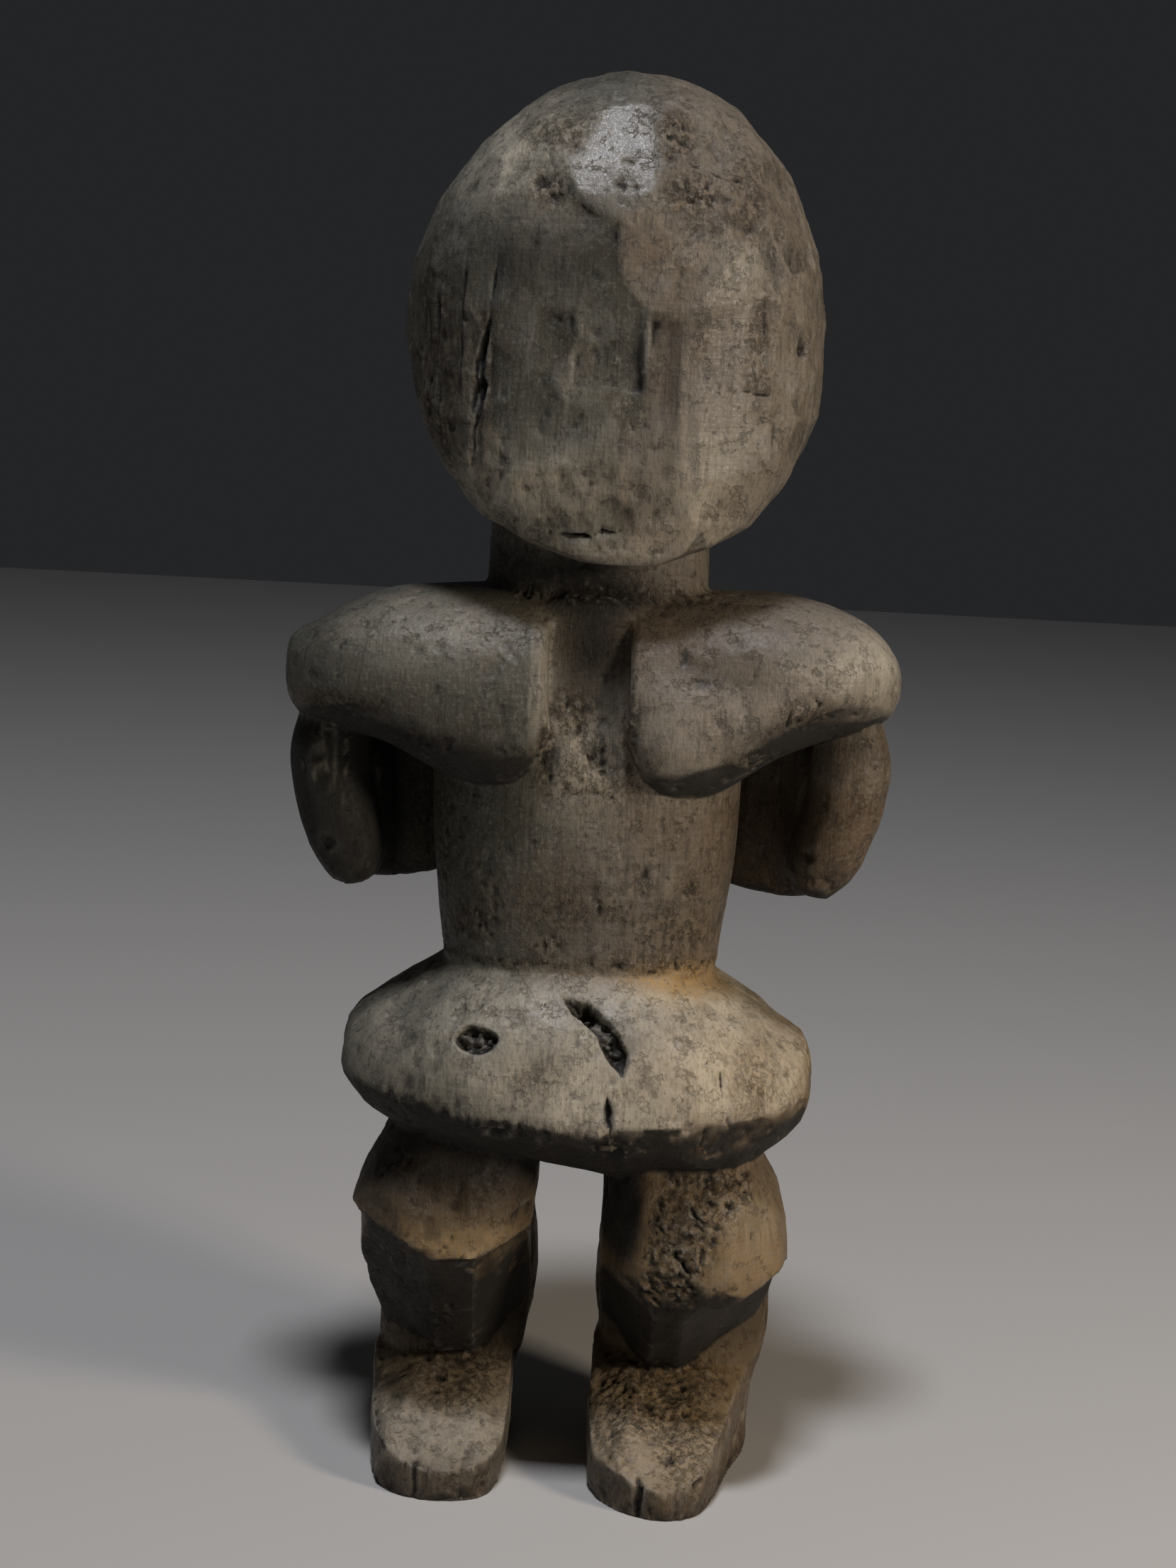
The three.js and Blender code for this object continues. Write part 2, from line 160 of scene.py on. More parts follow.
# The log: one piece of hardwood, roughed out into masses that stay joined. Each mass is an oval carried
# along an upright or a level line through a few slices, and is then cut by flat planes, as an adze cuts.
# Sizes are in millimetres.
RINGS = 150
AROUND = 240

masses = []


def through(rows, places):
    """A smooth run through the rows of a small table, at places from 0 to 1. Between two rows it is a cubic
    whose slope at each of them is half the step from the row before to the row after."""
    rows = np.asarray(rows, float)
    last = len(rows) - 1
    place = np.clip(places, 0, 1) * last
    i = np.minimum(place.astype(int), last - 1)
    s = (place - i)[:, None]
    step = rows[i + 1] - rows[i]
    leave = (rows[i + 1] - rows[np.maximum(i - 1, 0)]) / 2
    arrive = (rows[np.minimum(i + 2, last)] - rows[i]) / 2
    return rows[i] + leave * s + (3 * step - 2 * leave - arrive) * s**2 + (leave + arrive - 2 * step) * s**3


def oval(low, high):
    """Across and along of an oval at even angles: the cosine and the sine, each raised to 2 / fullness,
    where low is the fullness of the half with a negative sine and high that of the other. 2 is an ellipse,
    more is boxier."""
    angle = np.arange(AROUND) / AROUND * 2 * np.pi
    power = 2 / np.where(np.sin(angle) < 0, low, high)
    across = np.sign(np.cos(angle)) * np.abs(np.cos(angle)) ** power
    along = np.sign(np.sin(angle)) * np.abs(np.sin(angle)) ** power
    return across, along


def level_mass(rows, low, high):
    """A mass from level slices (height, left, right, front, back): at each height an oval fills the slice's
    box."""
    z, left, right, front, back = through(rows, np.linspace(0, 1, RINGS)).T[:, :, None]
    across, along = oval(low, high)
    x = (left + right) / 2 + (right - left) / 2 * across
    y = (front + back) / 2 + (back - front) / 2 * along
    return np.stack([x, y, z + 0 * x], axis=-1)


def upright_mass(rows, low, high):
    """A mass from upright slices (x, front, back, bottom, ridge, top): an oval in each, centred at the
    ridge's height, that reaches down to the bottom and up to the top."""
    x, front, back, bottom, ridge, top = through(rows, np.linspace(0, 1, RINGS)).T[:, :, None]
    across, along = oval(low, high)
    y = (front + back) / 2 + (back - front) / 2 * across
    z = ridge + np.where(along < 0, ridge - bottom, top - ridge) * along
    return np.stack([x + 0 * y, y, z], axis=-1)


def adze(points, centre, cuts):
    """Flat cuts, each a place and the way it faces. A point beyond a cut's plane is drawn back along the
    line to the mass's centre until it lies on the plane."""
    reach = points - centre
    share = np.ones(points.shape[:-1])
    for place, facing in cuts:
        out = np.array(facing, float) / np.linalg.norm(facing)
        depth = (np.array(place) - centre) @ out
        share = np.minimum(share, depth / np.maximum(reach @ out, depth))
    return centre + reach * share[..., None]


def adze_all_round(points, centre, count, bite, seed, front=-1.1):
    """Small flat cuts that face evenly all ways, spread by the golden angle and shaken a little. Each one
    takes off a cap of about the bite's depth. Those that face further forward than the given share are left
    out."""
    random = np.random.default_rng(seed)
    i = np.arange(count) + 0.5
    up = 1 - 2 * i / count
    turn = i * math.pi * (3 - math.sqrt(5))
    level = np.sqrt(1 - up**2)
    facing = np.stack([level * np.cos(turn), level * np.sin(turn), up], axis=-1)
    facing += random.normal(0, 0.07, facing.shape)
    facing /= np.linalg.norm(facing, axis=1)[:, None]
    bites = bite * random.uniform(0.35, 1.6, count)
    surface = points.reshape(-1, 3) - centre
    cuts = [
        (centre + out * ((surface @ out).max() - depth), out)
        for out, depth in zip(facing, bites)
        if out[1] > front
    ]
    return adze(points, centre, cuts)


def on_front(points, x, z, bite):
    """The place on the front of a mass at x and z, taken in by a bite: the foremost corner within 3 mm."""
    near = points[np.hypot(points[..., 0] - x, points[..., 2] - z) < 3]
    return np.array([x, near[:, 1].min() + bite, z])


# Head: a blank egg whose face is nearly flat, with an underside that slopes up to the nape. The face, the
# brow and the chin are broad cuts given one by one; the crown, the sides and the back are worked over in
# smaller ones.
CHIN = 318
CHEEK = 397
CROWN = 480
HEAD_WIDTH = 141
HEAD_MIDDLE = 1.5
FACE_REACH = 62
CHIN_REACH = 52
NAPE_REACH = 61
CROWN_FACING = (-0.02, -0.845, 0.535)


def head():
    """Level ovals at heights spaced as a cosine. Each reach falls off from the cheek as (1 - t^p)^(1/p),
    with a power of its own for the width, the face and the nape. The middle drifts a little to the right
    toward the chin and the crown."""
    t = np.clip(-np.cos(np.linspace(0, 1, RINGS) * math.pi), -0.9999, 0.9999)[:, None]

    def fall(power):
        return (1 - np.abs(t) ** power) ** (1 / power)

    above = t >= 0
    width = HEAD_WIDTH / 2 * np.where(above, fall(1.88), fall(2.2))
    front = np.where(above, -FACE_REACH * fall(2.3), -CHIN_REACH - (FACE_REACH - CHIN_REACH) * fall(3.5))
    back = np.where(above, NAPE_REACH * fall(2.1), -CHIN_REACH + (NAPE_REACH + CHIN_REACH) * fall(1.6))
    height = CHEEK + np.where(above, CROWN - CHEEK, CHEEK - CHIN) * t
    across, along = oval(low=2.5, high=2.2)
    x = HEAD_MIDDLE + 4 * np.abs(t) ** 1.5 + width * across
    y = (front + back) / 2 + (back - front) / 2 * along
    egg = np.stack([x, y, height + 0 * x], axis=-1)
    middle = np.array([HEAD_MIDDLE, -4, CHEEK])

    egg = adze(egg, middle, [(on_front(egg, *place), facing) for place, facing in (
        # the face, from its left cheek round to its right: a blunt keel a little right of the middle
        ((-58, 385, 1.4), (-0.93, -0.37, 0)),
        ((-46, 385, 2.0), (-0.70, -0.71, 0)),
        ((-26, 385, 2.2), (-0.38, -0.925, 0)),
        ((-9, 385, 1.8), (-0.17, -0.985, 0.02)),
        ((13, 380, 0.5), (0.05, -0.999, 0)),
        ((36, 380, 2.0), (0.42, -0.907, 0)),
        ((52, 385, 1.8), (0.73, -0.68, 0)),
        ((63, 388, 1.2), (0.93, -0.37, 0)),
        # the forehead
        ((17, 414, 1.6), (0.14, -0.98, 0.16)),
        ((-14, 416, 1.5), (-0.16, -0.975, 0.16)),
        ((40, 414, 1.8), (0.52, -0.83, 0.21)),
        ((-38, 415, 1.8), (-0.50, -0.85, 0.18)),
        # the brow and the crown
        ((-47, 438, 1.7), (-0.74, -0.50, 0.45)),
        ((-29, 441, 1.8), (-0.46, -0.74, 0.49)),
        ((-1, 448, 2.5), CROWN_FACING),
        ((23, 443, 2.0), (0.34, -0.79, 0.51)),
        ((44, 437, 1.7), (0.68, -0.58, 0.45)),
        ((-20, 460, 1.5), (-0.38, -0.58, 0.72)),
        ((4, 470, 0.6), (0.02, -0.52, 0.85)),
        ((30, 460, 1.5), (0.44, -0.50, 0.74)),
        # the jaw and the chin
        ((-36, 348, 1.6), (-0.50, -0.80, -0.33)),
        ((-10, 345, 1.5), (-0.14, -0.96, -0.24)),
        ((14, 345, 1.5), (0.08, -0.965, -0.25)),
        ((36, 348, 1.6), (0.46, -0.84, -0.29)),
        ((-4, 326, 1.0), (-0.05, -0.80, -0.60)),
        ((16, 326, 1.0), (0.18, -0.74, -0.65)),
        ((-24, 330, 1.0), (-0.33, -0.72, -0.61)),
    )])
    return adze_all_round(egg, middle, count=170, bite=0.9, seed=3, front=-0.55)


masses.append(head())


# Neck and torso: a short round post, and a plain barrel whose front is the floor of the channel between the
# breasts. Both are of the same wood as the head, cut back with the adze.
WAIST = 190
SHOULDER_TOP = 309
NECK_WIDTH = 75
TORSO_WIDTH = 105
TORSO_REACH = 40

neck_half = NECK_WIDTH / 2
masses.append(adze_all_round(level_mass([
    (296, -neck_half - 2, neck_half + 2, -34, 39),
    (312, -neck_half, neck_half, -31, 37),
    (330, -neck_half, neck_half, -31, 37),
    (350, -neck_half, neck_half, -31, 37),
], low=2.4, high=2.2), np.array([0, 3, 322]), count=60, bite=0.4, seed=5))

torso_half = TORSO_WIDTH / 2
masses.append(adze_all_round(level_mass([
    (168, -torso_half + 6, torso_half - 5, -TORSO_REACH + 1, TORSO_REACH),
    (WAIST, -torso_half + 4, torso_half - 4, -TORSO_REACH, TORSO_REACH + 1),
    (214, -torso_half + 1, torso_half - 1, -TORSO_REACH - 1, TORSO_REACH + 3),
    (240, -torso_half - 1, torso_half, -TORSO_REACH - 1, TORSO_REACH + 5),
    (275, -torso_half - 1, torso_half, -TORSO_REACH, TORSO_REACH + 5),
    (292, -torso_half + 8, torso_half - 8, -TORSO_REACH + 1, TORSO_REACH + 1),
    (303, -torso_half + 24, torso_half - 24, -TORSO_REACH + 2, TORSO_REACH - 3),
    (SHOULDER_TOP - 1, -torso_half + 36, torso_half - 36, -TORSO_REACH + 4, 30),
], low=2.5, high=2.4), np.array([0, 0, 240]), count=110, bite=0.35, seed=6))


# Shoulders: two slabs, each from the tip of a shoulder to the channel, that hang over the torso as breasts.
# They are smoothed by handling, so their cuts are shallow.
CHEST_EDGE = 245
CHEST_REACH = 52
SHOULDER_WIDTH = 209

left_tip = -SHOULDER_WIDTH / 2
left_shoulder = upright_mass([
    (left_tip, -8, 8, 272, 277, 282),
    (left_tip + 2, -19, 15, 264, 277, 288),
    (-95, -31, 23, 259, 277, 292),
    (-84, -40, 30, 257, 276, 299),
    (-68, -47, 38, 253, 272, 305),
    (-50, -CHEST_REACH + 1, 44, CHEST_EDGE - 1, 268, 307),
    (-34, -CHEST_REACH, 46, CHEST_EDGE - 6, 266, SHOULDER_TOP - 1),
    (-22, -CHEST_REACH, 46, CHEST_EDGE - 4, 266, SHOULDER_TOP),
    (-13, -CHEST_REACH + 2, 46, CHEST_EDGE + 10, 270, SHOULDER_TOP),
], low=2.6, high=2.5)
left_middle = np.array([-45, -4, 276])
left_shoulder = adze(left_shoulder, left_middle, [
    ((-18, -CHEST_REACH, 280), (0.88, -0.44, 0.13)),
    ((-60, -46, 250), (-0.2, -0.5, -0.84)),
])
masses.append(adze_all_round(left_shoulder, left_middle, count=120, bite=0.4, seed=7))

right_tip = SHOULDER_WIDTH / 2
right_shoulder = upright_mass([
    (11, -CHEST_REACH + 3, 46, CHEST_EDGE + 10, 270, SHOULDER_TOP),
    (20, -CHEST_REACH, 46, CHEST_EDGE - 4, 264, SHOULDER_TOP),
    (31, -CHEST_REACH - 1, 46, CHEST_EDGE - 7, 262, SHOULDER_TOP),
    (45, -CHEST_REACH, 45, CHEST_EDGE - 3, 266, SHOULDER_TOP),
    (62, -48, 41, 253, 274, 309),
    (78, -43, 34, 260, 280, 306),
    (92, -34, 26, 264, 283, 300),
    (right_tip - 3, -21, 16, 269, 281, 291),
    (right_tip, -9, 8, 275, 280, 284),
], low=2.5, high=2.5)
right_middle = np.array([45, -4, 278])
right_shoulder = adze(right_shoulder, right_middle, [
    ((14.5, -CHEST_REACH, 290), (-0.93, -0.33, 0.07)),
    ((70, -42, 258), (0.25, -0.55, -0.8)),
])
masses.append(adze_all_round(right_shoulder, right_middle, count=120, bite=0.4, seed=8))


# Arms: each hangs from its shoulder, ends in a round elbow, and its forearm goes back and inwards to lie
# against the small of the back. The wood between the arm and the torso is cut away.
ELBOW = 202
ARM_WIDTH = 27


def upper_arm(side, outer, drop):
    """Level ovals from the elbow up into the shoulder; side is -1 at the left and 1 at the right."""
    inner = outer - ARM_WIDTH
    rows = np.array([
        (ELBOW + drop, outer - 19, inner + 6, -9, 14),
        (ELBOW + drop + 2, outer - 14, inner - 1, -14, 19),
        (ELBOW + drop + 8, outer - 9, inner - 5, -18, 24),
        (ELBOW + drop + 18, outer - 4, inner - 4, -21, 25),
        (ELBOW + drop + 34, outer, inner, -22, 22),
        (ELBOW + drop + 50, outer + 1, inner + 1, -22, 19),
        (ELBOW + drop + 72, outer - 6, inner + 2, -20, 18),
    ], float)
    far = rows[:, 1].copy()
    near = rows[:, 2].copy()
    rows[:, 1] = -far if side < 0 else near
    rows[:, 2] = -near if side < 0 else far
    return level_mass(rows, low=2.7, high=2.4)


def forearm(side, outer):
    """An oval carried along a bent line: at each place it stands upright, square to the line's level
    direction."""
    places = np.linspace(0, 1, RINGS)
    bend = [
        (outer - 20, 6, ELBOW + 26, 10, 22),
        (outer - 26, 24, ELBOW + 30, 12, 32),
        (outer - 42, 35, ELBOW + 29, 12, 31),
        (outer - 60, 41, ELBOW + 24, 11, 22),
        (outer - 78, 42, ELBOW + 20, 10, 17),
        (outer - 91, 41, ELBOW + 19, 8, 13),
    ]
    x, y, z, thick, tall = through(bend, places).T[:, :, None]
    ahead = through(bend, places * 0.98 + 0.02)[:, :2]
    behind = through(bend, places * 0.98)[:, :2]
    along = (ahead - behind) / np.linalg.norm(ahead - behind, axis=1)[:, None]
    wide, high = oval(low=2.6, high=2.6)
    if side < 0:
        wide, high = wide[::-1], high[::-1]
    across_x = side * (x - along[:, 1:2] * thick * wide)
    across_y = y + along[:, 0:1] * thick * wide
    return np.stack([across_x, across_y, z + tall * high], axis=-1)


for side, outer, drop, seed in ((-1, 101, 0, 9), (1, 102, 3, 10)):
    arm_middle = np.array([side * (outer - 14), 0, ELBOW + 32])
    arm = upper_arm(side, outer, drop)
    masses.append(adze_all_round(arm, arm_middle, count=70, bite=0.5, seed=seed))
    masses.append(forearm(side, outer))


# Hips: one wide cushion of solid wood. It slopes out from the waist to a ridge, then in again to the
# thighs, and its front is cut in broad planes.
HIP_RIDGE = 138
HIP_WIDTH = 163
HIP_REACH = 61

hip_tip = HIP_WIDTH / 2
hips = upright_mass([
    (1 - hip_tip, -10, 16, 138, 142, 148),
    (3 - hip_tip, -26, 31, 135, 142, 156),
    (-70, -41, 42, 126, 141, 164),
    (-56, -51, 50, 118, HIP_RIDGE + 1, 173),
    (-36, -HIP_REACH + 2, 57, 113, HIP_RIDGE - 1, 185),
    (-12, -HIP_REACH, 60, 110, HIP_RIDGE - 4, 192),
    (12, -HIP_REACH, 60, 106, HIP_RIDGE - 6, 192),
    (34, -HIP_REACH + 1, 57, 101, HIP_RIDGE - 7, 185),
    (55, -52, 51, 106, HIP_RIDGE - 4, 173),
    (69, -42, 43, 116, HIP_RIDGE, 163),
    (hip_tip - 2, -27, 31, 126, 140, 156),
    (hip_tip + 1, -10, 16, 133, 140, 147),
], low=1.75, high=2.2)
hip_middle = np.array([0, 0, 142])
hips = adze(hips, hip_middle, [(on_front(hips, *place), facing) for place, facing in (
    # the front, above the ridge
    ((-42, 150, 1.5), (-0.26, -0.95, 0.18)),
    ((-12, 150, 1.7), (-0.03, -0.98, 0.18)),
    ((22, 150, 1.3), (0.09, -0.975, 0.20)),
    ((50, 148, 1.2), (0.40, -0.90, 0.18)),
    # the slope up to the waist
    ((-62, 157, 1.4), (-0.50, -0.62, 0.60)),
    ((-38, 168, 1.6), (-0.25, -0.75, 0.61)),
    ((-8, 172, 1.8), (-0.02, -0.765, 0.644)),
    ((28, 170, 1.8), (0.15, -0.77, 0.62)),
    ((57, 160, 1.5), (0.48, -0.65, 0.59)),
    # the ridge at the right, which turns down before it turns under
    ((30, 134, 1.2), (0.08, -0.88, -0.46)),
    ((52, 137, 1.0), (0.42, -0.79, -0.45)),
    # the underside
    ((-55, 133, 2.2), (-0.36, -0.50, -0.79)),
    ((-30, 129, 2.8), (-0.10, -0.55, -0.83)),
    ((0, 125, 2.8), (0, -0.55, -0.83)),
    ((28, 118, 1.8), (0.05, -0.60, -0.80)),
    ((55, 126, 1.5), (0.36, -0.60, -0.71)),
)])
masses.append(adze_all_round(hips, hip_middle, count=170, bite=0.45, seed=11))


# Legs: a stout thigh that ends in a ledge over the shin, a shin cut back as a wedge, a round calf, and a
# foot with an upright toe face and a top that slopes up to the instep.
LEFT_KNEE = 85
RIGHT_KNEE = 72


def leg(thigh_rows, thigh_cuts, shin_rows, shin_cuts, calf_rows, seed):
    """The three level masses of a leg, each cut about its own middle."""
    made = []
    for rows, cuts, low, high in (
        (thigh_rows, thigh_cuts, 2.9, 2.4), (shin_rows, shin_cuts, 2.6, 2.4), (calf_rows, [], 2.5, 2.3)
    ):
        middle = np.array([
            np.mean([row[1:3] for row in rows]), max(0, np.mean([row[3:5] for row in rows])),
            (rows[0][0] + rows[-1][0]) / 2,
        ])
        cut = adze(level_mass(rows, low, high), middle, cuts)
        made.append(adze_all_round(cut, middle, count=60, bite=0.35, seed=seed))
    return made


def foot(outline, cuts, middle):
    """An upright wall on a closed smooth outline, its lower edge drawn in by a millimetre, cut by the
    slopes of its top."""
    loop = np.array([*outline, outline[0], outline[1], outline[2]], float)
    ring = through(loop, (np.arange(AROUND) / AROUND * len(outline) + 1) / (len(loop) - 1))
    centre = ring.mean(axis=0)
    heights = np.array([0, 2, 4, 6, *np.linspace(8, 60, RINGS - 4)])
    inset = np.clip(1.2 - heights / 5, 0, None)[:, None, None]
    spoke = ring - centre
    length = np.linalg.norm(spoke, axis=1)[None, :, None]
    level = centre + spoke * (length - inset) / length
    wall = np.concatenate([level, np.broadcast_to(heights[:, None, None], (*level.shape[:2], 1))], axis=-1)
    return adze(wall, np.array(middle, float), cuts)


masses += leg([
    (LEFT_KNEE - 3, -74, -12, -47, 34),
    (LEFT_KNEE + 6, -75, -11, -48, 40),
    (102, -72, -10, -46, 44),
    (116, -65, -9, -41, 46),
    (134, -56, -8, -34, 46),
], [
    ((-64, -38, 100), (-0.75, -0.66, 0)),
    ((-50, -48, LEFT_KNEE), (-0.46, -0.12, -0.88)),
    ((-28, -48, LEFT_KNEE - 2), (0.5, -0.12, -0.86)),
], [
    (26, -62, -16, -14, 26),
    (40, -63, -14, -20, 28),
    (64, -70, -11, -42, 30),
    (LEFT_KNEE + 11, -72, -13, -43, 32),
], [
    ((-44, -12, 42), (0, -0.78, -0.62)),
    ((-43, -12, 42), (-0.63, -0.57, -0.53)),
    ((-30, -12, 42), (0.81, -0.46, -0.37)),
], [
    (18, -62, -19, -2, 46),
    (38, -65, -12, -2, 50),
    (56, -65, -9, 0, 52),
    (78, -64, -10, 0, 48),
    (104, -58, -14, 0, 40),
], 12)
masses.append(foot([
    (-65, -14), (-61, -39), (-51, -50), (-36, -53), (-23, -47), (-18, -30),
    (-16, 0), (-18, 26), (-28, 43), (-42, 47), (-56, 40), (-65, 18),
], [
    ((-40, -52, 12), (0, -0.46, 0.89)),
    ((-60, -20, 24), (-0.42, -0.3, 0.86)),
    ((-20, -20, 24), (0.42, -0.36, 0.83)),
    ((-40, -10, 35), (0, -0.3, 0.95)),
], (-40, 0, 6)))
masses += leg([
    (RIGHT_KNEE - 3, 14, 76, -47, 34),
    (RIGHT_KNEE + 8, 12, 77, -51, 40),
    (98, 12, 75, -50, 44),
    (115, 12, 67, -43, 46),
    (134, 10, 56, -34, 46),
], [
    ((22, -46, 90), (-0.8, -0.6, 0)),
    ((66, -40, 90), (0.7, -0.7, 0.12)),
    ((55, -50, RIGHT_KNEE - 2), (0.55, -0.12, -0.83)),
    ((30, -50, RIGHT_KNEE - 2), (-0.5, -0.12, -0.86)),
], [
    (24, 14, 62, -14, 26),
    (38, 13, 66, -22, 28),
    (58, 12, 72, -40, 30),
    (RIGHT_KNEE + 8, 13, 76, -44, 32),
], [
    ((36, -12, 38), (0, -0.69, -0.73)),
    ((31, -12, 38), (-0.82, -0.39, -0.41)),
    ((42, -12, 38), (0.64, -0.53, -0.56)),
], [
    (16, 16, 67, -2, 46),
    (36, 14, 73, -4, 50),
    (54, 12, 75, -2, 52),
    (72, 12, 71, 0, 48),
    (96, 14, 62, 0, 40),
], 13)
masses.append(foot([
    (11, -24), (13, -40), (22, -54), (36, -61), (49, -55), (56, -38),
    (63, -10), (69, 16), (62, 38), (46, 47), (26, 44), (14, 28), (11, 0),
], [
    ((36, -59, 12), (0, -0.44, 0.9)),
    ((15, -24, 24), (-0.4, -0.36, 0.84)),
    ((58, -24, 26), (0.36, -0.36, 0.86)),
    ((38, -8, 35), (0, -0.3, 0.95)),
], (38, 0, 6)))


# One skin. The masses are closed and run into each other, as they do in the log; a fine lattice through all
# of them gives the one outer skin, and a light smoothing wears its arrises round.
LATTICE = 0.8
MILLIMETRE = 0.001


def closed(grid, first):
    """Corners and faces of a grid of rings closed at both ends: quads between the rings, and at each end a
    fan of triangles about the ring's mean. first is the number of the grid's first corner."""
    rings, around = grid.shape[:2]
    corners = np.concatenate([grid.reshape(-1, 3), grid[0].mean(0)[None], grid[-1].mean(0)[None]])
    i, j = np.meshgrid(np.arange(rings - 1), np.arange(around), indexing="ij")
    k = (j + 1) % around
    quads = np.stack([i * around + j, i * around + k, (i + 1) * around + k, (i + 1) * around + j], axis=-1)
    j = np.arange(around)
    k = (j + 1) % around
    low = np.stack([np.full(around, rings * around), k, j], axis=-1)
    top = (rings - 1) * around
    high = np.stack([np.full(around, rings * around + 1), top + j, top + k], axis=-1)
    return corners, (quads.reshape(-1, 4) + first).tolist() + (np.concatenate([low, high]) + first).tolist()


def finished(obj, name):
    """The mesh of an object with its modifiers worked in."""
    graph = bpy.context.evaluated_depsgraph_get()
    made = bpy.data.meshes.new_from_object(obj.evaluated_get(graph))
    made.name = name
    return made


corners = []
faces = []
for grid in masses:
    its_corners, its_faces = closed(grid, sum(len(c) for c in corners))
    corners.append(its_corners)
    faces += its_faces
rough_mesh = bpy.data.meshes.new("rough_log")
rough_mesh.from_pydata(np.concatenate(corners) * MILLIMETRE, [], faces)
figure = bpy.data.objects.new("carved_figure", rough_mesh)
bpy.context.scene.collection.objects.link(figure)
lattice = figure.modifiers.new("lattice", "REMESH")
lattice.mode = "VOXEL"
lattice.voxel_size = LATTICE * MILLIMETRE
worn = figure.modifiers.new("worn", "SMOOTH")
worn.factor = 0.5
worn.iterations = 2
figure.data = finished(figure, "carved_figure")
figure.modifiers.clear()


def read(mesh, what):
    """One property of all of a mesh's vertices, as rows of three numbers."""
    values = np.empty(len(mesh.vertices) * 3, np.float32)
    mesh.vertices.foreach_get(what, values)
    return values.reshape(-1, 3).astype(float)


def ramp(values, start, full):
    """0 up to the start and 1 from full on, straight between them; full may be the smaller, to run the
    other way."""
    return np.clip((values - start) / (full - start), 0, 1)


def measured(mesh):
    """A mesh's corners in millimetres, the way each one faces, and its share in what is only on the front:
    0 from the sides back, and 1 from where it faces the front by a third."""
    ways = read(mesh, "normal")
    return read(mesh, "co") / MILLIMETRE, ways, ramp(-ways[:, 1], 0.12, 0.32)


skin, out, facing_front = measured(figure.data)
x, y, z = skin.T
forward = -out[:, 1]
upward = out[:, 2]


# Marks of the tool and of age. Each is a depth in millimetres at every corner of the skin, pressed in along
# its normal.
def boxes(points, size):
    """The lattice box, of the given size, that each point lies in, and its place in that box from 0 to 1."""
    place = points / np.asarray(size, float)
    cell = np.floor(place).astype(np.int64)
    return cell, place - cell


def at_random(cell, seed):
    """A number from 0 to 1 for each lattice box, the same each time for the same box and seed."""
    table = np.random.default_rng(seed).random(1 << 16)
    key = cell @ np.array([73856093, 19349663, 83492791])
    return table[(key ^ (key >> 13)) & 0xFFFF]


def noise(points, size, seed):
    """A smooth random field from -1 to 1: a random value at each corner of a lattice of boxes of the given
    size, blended between the corners by the curve 3 s^2 - 2 s^3."""
    cell, s = boxes(points, size)
    s = s * s * (3 - 2 * s)
    total = np.zeros(len(points))
    for corner in itertools.product((0, 1), repeat=3):
        total += np.prod(np.where(corner, s, 1 - s), axis=1) * (2 * at_random(cell + corner, seed) - 1)
    return total


def layered(points, size, seed, layers=3):
    """Noise with finer noise on it, each layer half the size and half the height of the one before."""
    size = np.asarray(size, float)
    return sum(noise(points, size / 2**i, seed + i) / 2**i for i in range(layers)) / (2 - 2.0 ** (1 - layers))


def chips(points, size, seed):
    """Scattered chips, one to each lattice box of the given size. Gives three fields: the height of a
    tilted plane of the nearest chip, from about -1 to 1; how much nearer its middle is than the next one's,
    which is 0 on the edges between chips; and a scoop, 1 - d^2 for the distance d to the nearest middle,
    whose edges meet in arrises."""
    cell, s = boxes(points, size)
    nearest = np.full(len(points), 9.0)
    second = nearest.copy()
    height = np.zeros(len(points))
    for step in itertools.product((-1, 0, 1), repeat=3):
        there = cell + step
        away = [step[i] + at_random(there, seed + i) - s[:, i] for i in range(3)]
        far = np.sqrt(away[0] ** 2 + away[1] ** 2 + away[2] ** 2)
        plane = sum(away[i] * (2 * at_random(there, seed + 3 + i) - 1) for i in range(3))
        plane += at_random(there, seed + 6) - 0.5
        second = np.where(far < nearest, nearest, np.minimum(second, far))
        height = np.where(far < nearest, plane, height)
        nearest = np.minimum(nearest, far)
    return height, second - nearest, 1 - nearest**2


def from_line(path):
    """How far each corner of the skin is, seen from the front, from a line through points (x, z), and how
    far along it the nearest place is, from 0 to 1."""
    path = np.array(path, float)
    lengths = np.linalg.norm(np.diff(path, axis=0), axis=1)
    run_up = np.concatenate([[0], np.cumsum(lengths)]) / lengths.sum()
    best = np.full(len(skin), 1e9)
    place = np.zeros(len(skin))
    for i, length in enumerate(lengths):
        step = (path[i + 1] - path[i]) / length
        t = np.clip((x - path[i, 0]) * step[0] + (z - path[i, 1]) * step[1], 0, length)
        far = np.hypot(x - path[i, 0] - step[0] * t, z - path[i, 1] - step[1] * t)
        nearer = far < best
        best = np.where(nearer, far, best)
        place = np.where(nearer, run_up[i] + t / length * (run_up[i + 1] - run_up[i]), place)
    return best, place


def patch(centre, radii, soft=0.35):
    """1 inside an ellipse on the front, seen from the front, falling to 0 over the soft share of its
    radius."""
    far = np.hypot((x - centre[0]) / radii[0], (z - centre[1]) / radii[1])
    return np.clip((1 + soft / 2 - far) / soft, 0, 1) * facing_front


def inside(outline, soft):
    """1 inside a convex outline of points (x, z) on the front, given clockwise, falling to 0 over a soft
    edge in mm."""
    least = np.full(len(x), 1e9)
    for (x0, z0), (x1, z1) in zip(outline, outline[1:] + outline[:1]):
        beyond = (z1 - z0) * (x - x0) - (x1 - x0) * (z - z0)
        least = np.minimum(least, beyond / math.hypot(x1 - x0, z1 - z0))
    return np.clip(0.5 + least / soft, 0, 1) * facing_front


